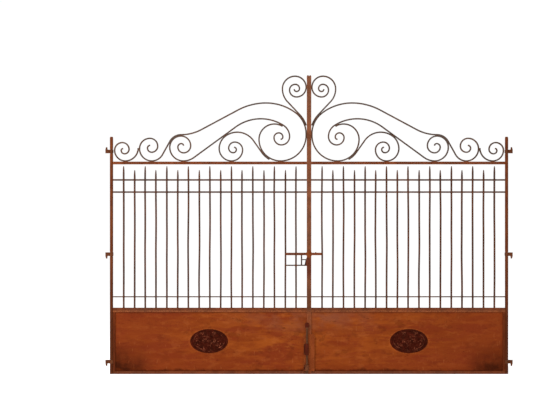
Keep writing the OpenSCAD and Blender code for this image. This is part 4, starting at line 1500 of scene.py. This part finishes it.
        # The crests are lightened in patches: partly worn high points, partly a painted highlight.
        patches = np.clip(0.62 + 2.2 * ripple(front, 1.0, 60, 62)[:, 1], 0.05, 1.5)
        crests = np.clip((height - 8.4) / 2.6, 0, 1) * field * patches
        reverse = np.clip((hollow - 3.6) / 2.0, 0, 1) * 0.7
        painted_highlight_and_wear = np.concatenate([crests, np.zeros(sides), reverse])
        make(f"{self.side.value}_oval_casting", Shape(points, faces), self.side,
             f"{self.side.value}_leaf", Iron.CAST, [f"{self.side.value}_rosette"], crease=60,
             wear_and_highlight_share=painted_highlight_and_wear)

    def _rivets(self) -> None:
        """Rivets that hold the sheet to its rails, on both faces."""
        heads = []
        for x in np.linspace(60, S.meet_in - 40, 15):
            for z in (S.panel_low + 9, S.bottom_rail_h - 9):
                heads += [(x, -S.frame_d / 2, z), (x, S.frame_d / 2, z)]
        for z in (520.0, 560.0, 600.0):
            x = (S.meet_in + S.meet_out) / 2
            heads += [(x, -S.frame_d / 2, z), (x, S.frame_d / 2, z)]
        grow(f"{self.side.value}_panel_rivets", to_row(np.array(heads), self.side), (), (),
             ShapeTrees.studs, f"{self.side.value}_leaf", Iron.FRAME, Radius=0.0046, Height=0.0024,
             Jitter=0.12, Lumps=0.0006, Segments=12, Seed=9)


@dataclass
class Crest:
    """The scrolls of one leaf and the welds that join them."""

    side: Side
    spread: float = 1.7

    def build(self) -> None:
        """Make and dress the scroll bars and their welds."""
        name, body = self.side.value, f"{self.side.value}_leaf"
        pattern = ScrollPattern(S)
        for part, chain in pattern.bars().items():
            flat = centreline(chain)
            row = to_row(np.column_stack([flat[:, 0], np.zeros(len(flat)), flat[:, 1]]), self.side)
            drawn = np.column_stack([row[:, 0], row[:, 2], np.zeros(len(row))])
            edges = [(i, i + 1) for i in range(len(drawn) - 1)]
            grow(f"{name}_{part}_forged", drawn, edges, (), ShapeTrees.bent_bar, body, Iron.SCROLL,
                 [f"{name}_{part}"], Width=(S.bar_t + self.spread) * MM, Depth=S.bar_d * MM)
        beads = [(x, y, z) for x, z in pattern.welds() for y in (-7.0, -3.0, 3.0, 7.0)]
        grow(f"{name}_crest_welds", to_row(np.array(beads), self.side), (), (), ShapeTrees.studs,
             body, Iron.FITTING, Radius=0.0052, Height=0.0042, Jitter=0.3, Lumps=0.003, Segments=10,
             Seed=6)


@dataclass
class WallBracket:
    """A strap collar round the hanging stile, with a tail whose tapered end is bent for the wall."""

    side: Side
    level: str
    z: float
    up: int
    strap_h: float = 36.0
    tail_end: float = -61.0
    tail_t: float = 14.0
    hook_w: float = 21.0
    hook_tip: float = 12.0
    hook_drop: float = 26.0

    def build(self) -> None:
        """Make and dress the bracket."""
        half = self.strap_h / 2
        rings = []
        for a in np.linspace(0, 2 * math.pi, 48, endpoint=False):
            section = [(15.7, half - 0.6), (15.7, -half + 0.6), (16.4, -half), (18.6, -half),
                       (19.5, -half + 1.6), (19.9, 0), (19.5, half - 1.6), (18.6, half), (16.4, half)]
            rings.append(np.array([[r * math.cos(a), r * math.sin(a), self.z + dz]
                                   for r, dz in section]))
        collar = ringed(rings, closed=True)
        edge, tip, up = half, half + self.hook_drop, self.up
        lean = (self.hook_w - self.hook_tip) * 0.7
        x0 = self.tail_end
        outline = [(x0, -edge * up), (-17.0, -edge * up), (-17.0, edge * up),
                   (x0 + self.hook_w + 3, edge * up), (x0 + self.hook_w, edge * up + up * 3),
                   (x0 + lean + self.hook_tip, tip * up), (x0 + lean + 1, tip * up),
                   (x0, (edge + 1) * up)]
        outline = [(x, self.z + dz) for x, dz in outline]
        halves = Shape.empty()
        for y0, y1 in ((-self.tail_t / 2, -0.25), (0.25, self.tail_t / 2)):
            halves = halves.plus(slab(outline, y0, y1, 1.2))
        rivet = Shape.empty()
        for sign in (-1, 1):
            head = lathe((0, 0), [(0, 7.0), (2.2, 6.2), (3.6, 4.0), (4.2, 1.5)], 16)
            p = head.points
            flat = np.column_stack([p[:, 0] - 33, sign * (self.tail_t / 2 - 0.4 + p[:, 2] * 0.8),
                                    p[:, 1] + self.z])
            rivet = rivet.plus(Shape(flat, head.faces))
        whole = collar.plus(halves).plus(rivet)
        offset = ripple(whole.points, 0.35, 26, int(self.z))
        offset[:, 0] = np.where(whole.points[:, 0] < x0 + 2, 0, offset[:, 0])
        whole.points = whole.points + offset * np.where(np.hypot(
            whole.points[:, 0], whole.points[:, 1]) < 20.5, 0.2, 1.0)[:, None]
        make(f"{self.side.value}_{self.level}_bracket_forged", whole, self.side, "wall_brackets",
             Iron.FITTING, [f"{self.side.value}_{self.level}_bracket"])


@dataclass
class Lock:
    """The bars round the missing lock, what is left of the latch, and the boss over the gap."""

    lock_z: float = 1206.0
    bar_h: float = 20.0
    opening: float = 98.0
    lower_h: float = 12.0
    upright_w: float = 14.0
    swell: float = 2.4
    boss_w: float = 66.0
    boss_h: float = 78.0
    boss_flank: float = 1.45
    boss_root: float = 0.7
    rod_up: float = 51.0
    plate_out: float = 1984.3

    def build(self) -> None:
        """Make and dress the lock parts on both leaves."""
        field = PicketField(Side.LEFT)
        low = self.lock_z - self.bar_h / 2
        opening_low = low - self.opening
        foot = opening_low - self.lower_h
        end = S.meet_in - S.seat
        start = field.picket_x(field.count - 2) + field.w / 2 + 0.3
        upright_x = S.meet_in - 46 - self.upright_w / 2
        thick = self.bar_h + 2 * self.swell
        upper = bar((start, 0, self.lock_z), (end, 0, self.lock_z), (0, 0, 1), thick, S.frame_d, 2.2)
        lower = bar((start, 0, foot + self.lower_h / 2), (end, 0, foot + self.lower_h / 2), (0, 0, 1),
                    self.lower_h, S.frame_d * 0.8, 1.8)
        post = bar((upright_x, 0, opening_low - 1), (upright_x, 0, low + 1), (1, 0, 0),
                   self.upright_w, S.frame_d * 0.8, 1.8, 12.0)
        make("lock_bars_forged", upper.beaten(0.45, 32, 71), Side.LEFT, "left_leaf", Iron.RAIL,
             ["lock_bars"])
        make("lock_lower_bars_forged", lower.plus(post).beaten(0.45, 32, 72), Side.LEFT, "left_leaf",
             Iron.DIM)
        self._latch(opening_low, foot, end, upright_x + self.upright_w / 2)
        strike = bar((field.picket_x(field.count - 1) + field.w / 2, 0, self.lock_z),
                     (end, 0, self.lock_z), (0, 0, 1), thick, S.frame_d, 2.2)
        keeper = lathe((S.meet_in - 45, 0), [(self.lock_z + 8, 8), (self.lock_z + 14, 7.4),
                                             (self.lock_z + 18.5, 4.4), (self.lock_z + 19.5, 1)], 18)
        make("strike_bar_forged", strike.plus(keeper).beaten(0.4, 32, 73), Side.RIGHT, "right_leaf",
             Iron.RAIL, ["strike_bar"])
        self._knots(field, foot)
        for side in Side:
            self._boss(side)

    def _latch(self, opening_low: float, foot: float, end: float, post_in: float) -> None:
        """The face plate with its screws, the thin bar and the leaning lever."""
        rod_z = opening_low + self.rod_up
        rod = bar((post_in, 0, rod_z), (end, 0, rod_z), (0, 0, 1), 10, 10, 1.6, 8.0)
        lever = slab([(end - 22, opening_low + 0.3), (end - 4, opening_low + 0.3),
                      (end - 0.5, rod_z - 5.3), (end - 12, rod_z - 5.3)], -5, 5, 1.0)
        y = -S.frame_d / 2
        top = self.lock_z - self.boss_h / 2
        plate = slab([(S.meet_out - 26, foot), (self.plate_out, foot), (self.plate_out, top),
                      (S.meet_out - 26, top)], y - 3, y + 0.2, 0.6)
        make("latch_forged", rod.plus(lever).beaten(0.3, 24, 75), Side.LEFT, "left_leaf", Iron.LATCH,
             ["latch"])
        make("latch_face_plate", plate.beaten(0.3, 24, 76), Side.LEFT, "left_leaf", Iron.COVER)
        screws = [(S.meet_out - 13, y - 3, foot + 8), (S.meet_out - 13, y - 3, top - 8)]
        grow("latch_plate_screws", to_row(np.array(screws), Side.LEFT), (), (), ShapeTrees.studs,
             "left_leaf", Iron.COVER, Radius=0.0045, Height=0.0016, Segments=14, Seed=2)

    def _knots(self, field: PicketField, foot: float) -> None:
        """Weld knots where the lock bars cross or meet a picket."""
        last, before = field.picket_x(field.count - 1), field.picket_x(field.count - 2)
        for side, spots in ((Side.LEFT, ((before + 8, self.lock_z), (last - 8, self.lock_z),
                                         (last + 8, self.lock_z), (before + 8, foot + 6),
                                         (last - 8, foot + 6), (last + 8, foot + 6))),
                            (Side.RIGHT, ((last + 7, self.lock_z - 4), (last + 7, self.lock_z + 5)))):
            beads = [(x, y, z) for x, z in spots for y in (-9.0, 9.0)]
            grow(f"{side.value}_lock_welds", to_row(np.array(beads), side), (), (), ShapeTrees.studs,
                 f"{side.value}_leaf", Iron.FITTING, Radius=0.0078, Height=0.0052, Jitter=0.2,
                 Lumps=0.004, Segments=12, Seed=4)

    def _boss(self, side: Side) -> None:
        """Half of the diamond, raised to a blunt point."""
        y, cut = -S.frame_d / 2, S.half_w - S.gap_half

        def ring(scale: float, depth: float) -> np.ndarray:
            """The half diamond at a depth, smaller as it rises, with full flanks."""
            wide, h = self.boss_w / 2 * scale, self.boss_h / 2 * scale
            share = np.linspace(-1, 1, 21)
            edge = [(S.half_w - wide * (1 - abs(v) ** self.boss_flank) ** self.boss_root, h * v)
                    for v in share]
            pts = [(cut, -h), *[(min(x, cut - 0.01), z) for x, z in edge[1:-1]], (cut, h), (cut, 0.0)]
            return np.array([[x, y - depth, self.lock_z + z] for x, z in pts])

        stages = ((1.0, 0.0), (1.0, 4.2), (0.93, 5.6), (0.74, 6.2), (0.66, 9.0), (0.44, 11.6),
                  (0.2, 13.2), (0.06, 13.6))
        boss = ringed([ring(scale, depth) for scale, depth in stages])
        make(f"{side.value}_boss_forged", boss, side, f"{side.value}_leaf", Iron.BRIGHT,
             [f"{side.value}_boss"])


@dataclass
class FootBolt:
    """The bolt at the foot of the left leaf, its guides, and the plates beside the gap."""

    x: float = 1963.5
    y: float = -30.0
    r: float = 10.0
    foot: float = 3.0
    grip_z: float = 492.0
    grip_w: float = 38.0
    grip_h: float = 47.0
    grip_d: float = 20.0
    plate_in: float = 1931.0
    plate_top: float = 403.5
    bore_r: float = 10.9
    saddle_w: float = 19.0
    saddle_d: float = 13.0

    def build(self) -> None:
        """Make and dress the bolt and what holds it."""
        stops = [(self.foot, 5.0), (self.foot + 1.5, 8.4), (self.foot + 5, self.r)]
        stops += [(z, self.r) for z in np.arange(30, 470, 22.0)]
        stops += [(474.0, self.r)]
        rod = lathe((self.x, self.y), stops, 28)
        outline = rounded(self.grip_w, self.grip_d, 6.0, 4)
        low, high = self.grip_z - self.grip_h / 2, self.grip_z + self.grip_h / 2
        rings = []
        for z, scale in ((low, 0.72), (low + 2, 0.88), (low + 6, 0.98), (self.grip_z, 1.0),
                         (high - 6, 0.98), (high - 2, 0.88), (high, 0.7)):
            rings.append(np.column_stack([self.x + outline[:, 0] * scale,
                                          self.y + outline[:, 1] * scale,
                                          np.full(len(outline), z)]))
        for part, shape, iron, nodes in (("rod", rod, Iron.ROD, ["foot_bolt"]),
                                         ("grip", ringed(rings), Iron.GUIDE, [])):
            offset = ripple(shape.points, 0.3, 28, 81)
            offset[:, 2] = 0
            shape.points = shape.points + offset
            make(f"foot_bolt_{part}", shape, Side.LEFT, "foot_bolt", iron, nodes)
        self._guides()
        for side in Side:
            self._plate(side)

    def _guides(self) -> None:
        """Two saddles bent round the rod, each with an ear riveted to the plate."""
        back = -S.frame_d / 2 - 4
        heads, ears = [], Shape.empty()
        for part, low, high, iron, nodes in (("lower", 34.0, 94.0, Iron.FITTING, ["bolt_guides"]),
                                             ("upper", 193.0, 307.0, Iron.GUIDE, [])):
            rings = []
            for z, inset in ((low, 1.0), (low + 1.2, 0.0), (high - 1.2, 0.0), (high, 1.0)):
                pts = []
                for a in np.linspace(180, 360, 15):
                    h = math.radians(a)
                    pts.append((self.x + (self.saddle_w - inset) * math.cos(h) * 0.97,
                                self.y - 1.0 + (self.saddle_d - inset) * math.sin(h)))
                pts += [(self.x + 18.4 - inset, back - 0.1), (self.x + self.bore_r, back - 0.1)]
                for a in np.linspace(0, -180, 13):
                    h = math.radians(a)
                    pts.append((self.x + self.bore_r * math.cos(h), self.y + self.bore_r * math.sin(h)))
                pts += [(self.x - self.bore_r, back - 0.1), (self.x - 18.4 + inset, back - 0.1)]
                rings.append(np.array([[px, py, z] for px, py in pts]))
            whole = ringed(rings)
            ear = [(self.x - 31, low + 6), (self.x - 18, low + 3), (self.x - 18, high - 3),
                   (self.x - 31, high - 6)]
            ears = ears.plus(slab(ear, back - 3, back + 0.3, 0.8))
            heads += [(self.x - 25, back - 3, low + 15), (self.x - 25, back - 3, high - 15)]
            make(f"{part}_bolt_guide_bent", whole.beaten(0.25, 26, 83), Side.LEFT, "left_leaf", iron,
                 nodes)
        make("bolt_guide_ears", ears.beaten(0.2, 30, 84), Side.LEFT, "left_leaf", Iron.GUIDE)
        grow("bolt_guide_rivets", to_row(np.array(heads), Side.LEFT), (), (), ShapeTrees.studs,
             "left_leaf", Iron.FITTING, Radius=0.0044, Height=0.0026, Segments=12, Seed=3)

    def _plate(self, side: Side) -> None:
        """The flat plate beside the gap, with a small ear near its top."""
        y = -S.frame_d / 2
        x0, x1, z1 = self.plate_in, S.half_w - S.gap_half, self.plate_top
        outline = [(x1, 31.0), (x1, z1), (x0 + 12, z1), (x0 + 3, z1 - 14), (x0 - 7, z1 - 24),
                   (x0 - 7, z1 - 34), (x0, z1 - 42), (x0, 31.0)]
        plate = slab(outline, y - 4, y + 0.1, 0.7)
        make(f"{side.value}_bolt_plate_forged", plate.beaten(0.3, 60, 85), side,
             f"{side.value}_leaf", Iron.PLATE, [f"{side.value}_bolt_plate"])
        heads = [(x0 + 8, y - 4, z) for z in (60.0, 150.0, 345.0)]
        grow(f"{side.value}_bolt_plate_rivets", to_row(np.array(heads), side), (), (),
             ShapeTrees.studs, f"{side.value}_leaf", Iron.PLATE, Radius=0.0046, Height=0.0026,
             Segments=12, Seed=7)


# ------------------------------------------------------------------ studio


@dataclass
class Studio:
    """A white studio: a floor, even light, and a camera square to the gate."""

    ground: float = -0.124
    camera_x: float = 1.704
    camera_z: float = 1.564
    distance: float = 13.05
    lens: float = 85.0
    aim_at: tuple[float, float, float] = (2.046, 0.0, 1.2)
    floor_r: float = 60.0
    floor_glow: float = 0.82
    air: float = 0.26
    key: float = 520.0
    fill: float = 100.0

    def build(self) -> None:
        """Make the stage, the lights and the camera."""
        self._floor()
        scene = bpy.context.scene
        scene.view_settings.view_transform = "Standard"
        world = bpy.data.worlds.new("studio_air")
        world.use_nodes = True
        sky = world.node_tree
        air = sky.nodes["Background"]
        air.inputs["Color"].default_value = (1.0, 1.0, 1.0, 1.0)
        seen = add_node(sky, "ShaderNodeLightPath").outputs["Is Camera Ray"]
        level = add_node(sky, "ShaderNodeMapRange", {0: seen, 3: self.air, 4: 1.02})
        sky.links.new(level.outputs[0], air.inputs["Strength"])
        scene.world = world
        for name, place, size, power in (("key_light", (-2.6, -5.0, 7.0), 2.5, self.key),
                                         ("fill_light", (7.5, -7.0, 3.5), 4.0, self.fill)):
            light = bpy.data.lights.new(name, "AREA")
            light.shape, light.size, light.energy = "SQUARE", size, power
            lamp = bpy.data.objects.new(name, light)
            scene.collection.objects.link(lamp)
            lamp.location = place
            aim = np.array(self.aim_at) - np.array(place)
            lamp.rotation_euler = (math.atan2(math.hypot(aim[0], aim[1]), -aim[2]), 0.0,
                                   math.atan2(-aim[0], aim[1]))
        data = bpy.data.cameras.new("front_camera")
        data.lens, data.sensor_width = self.lens, 36.0
        data.clip_end = 200.0
        camera = bpy.data.objects.new("front_camera", data)
        scene.collection.objects.link(camera)
        camera.location = (self.camera_x, -self.distance, self.camera_z)
        camera.rotation_euler = (math.pi / 2, 0.0, 0.0)
        scene.camera = camera

    def _floor(self) -> None:
        """A wide pale floor."""
        mesh = bpy.data.meshes.new("studio_floor")
        r, z = self.floor_r, self.ground
        mesh.from_pydata([(-r, -r, z), (r, -r, z), (r, r, z), (-r, r, z)], [], [(0, 1, 2, 3)])
        floor = bpy.data.objects.new("studio_floor", mesh)
        bpy.context.scene.collection.objects.link(floor)
        mat = bpy.data.materials.new("studio_white")
        mat.use_nodes = True
        shader = mat.node_tree.nodes["Principled BSDF"]
        for key, value in (("Base Color", (0.8, 0.8, 0.8, 1.0)), ("Roughness", 0.9),
                           ("Specular IOR Level", 0.0), ("Emission Color", (1.0, 1.0, 1.0, 1.0)),
                           ("Emission Strength", self.floor_glow)):
            shader.inputs[key].default_value = value
        mesh.materials.append(mat)


def main() -> None:
    """Build the gate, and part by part."""
    logging.basicConfig(level=logging.INFO, format="%(message)s")
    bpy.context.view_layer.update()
    for side in Side:
        for part in (LeafFrame(side), PicketField(side), Panel(side), Crest(side)):
            part.build()
        for level, z, up in zip(("bottom", "middle", "top"), S.collars, (-1, -1, 1)):
            WallBracket(side, level, z, up).build()
    Lock().build()
    FootBolt().build()
    Studio().build()


if __name__ == "__main__":
    main()
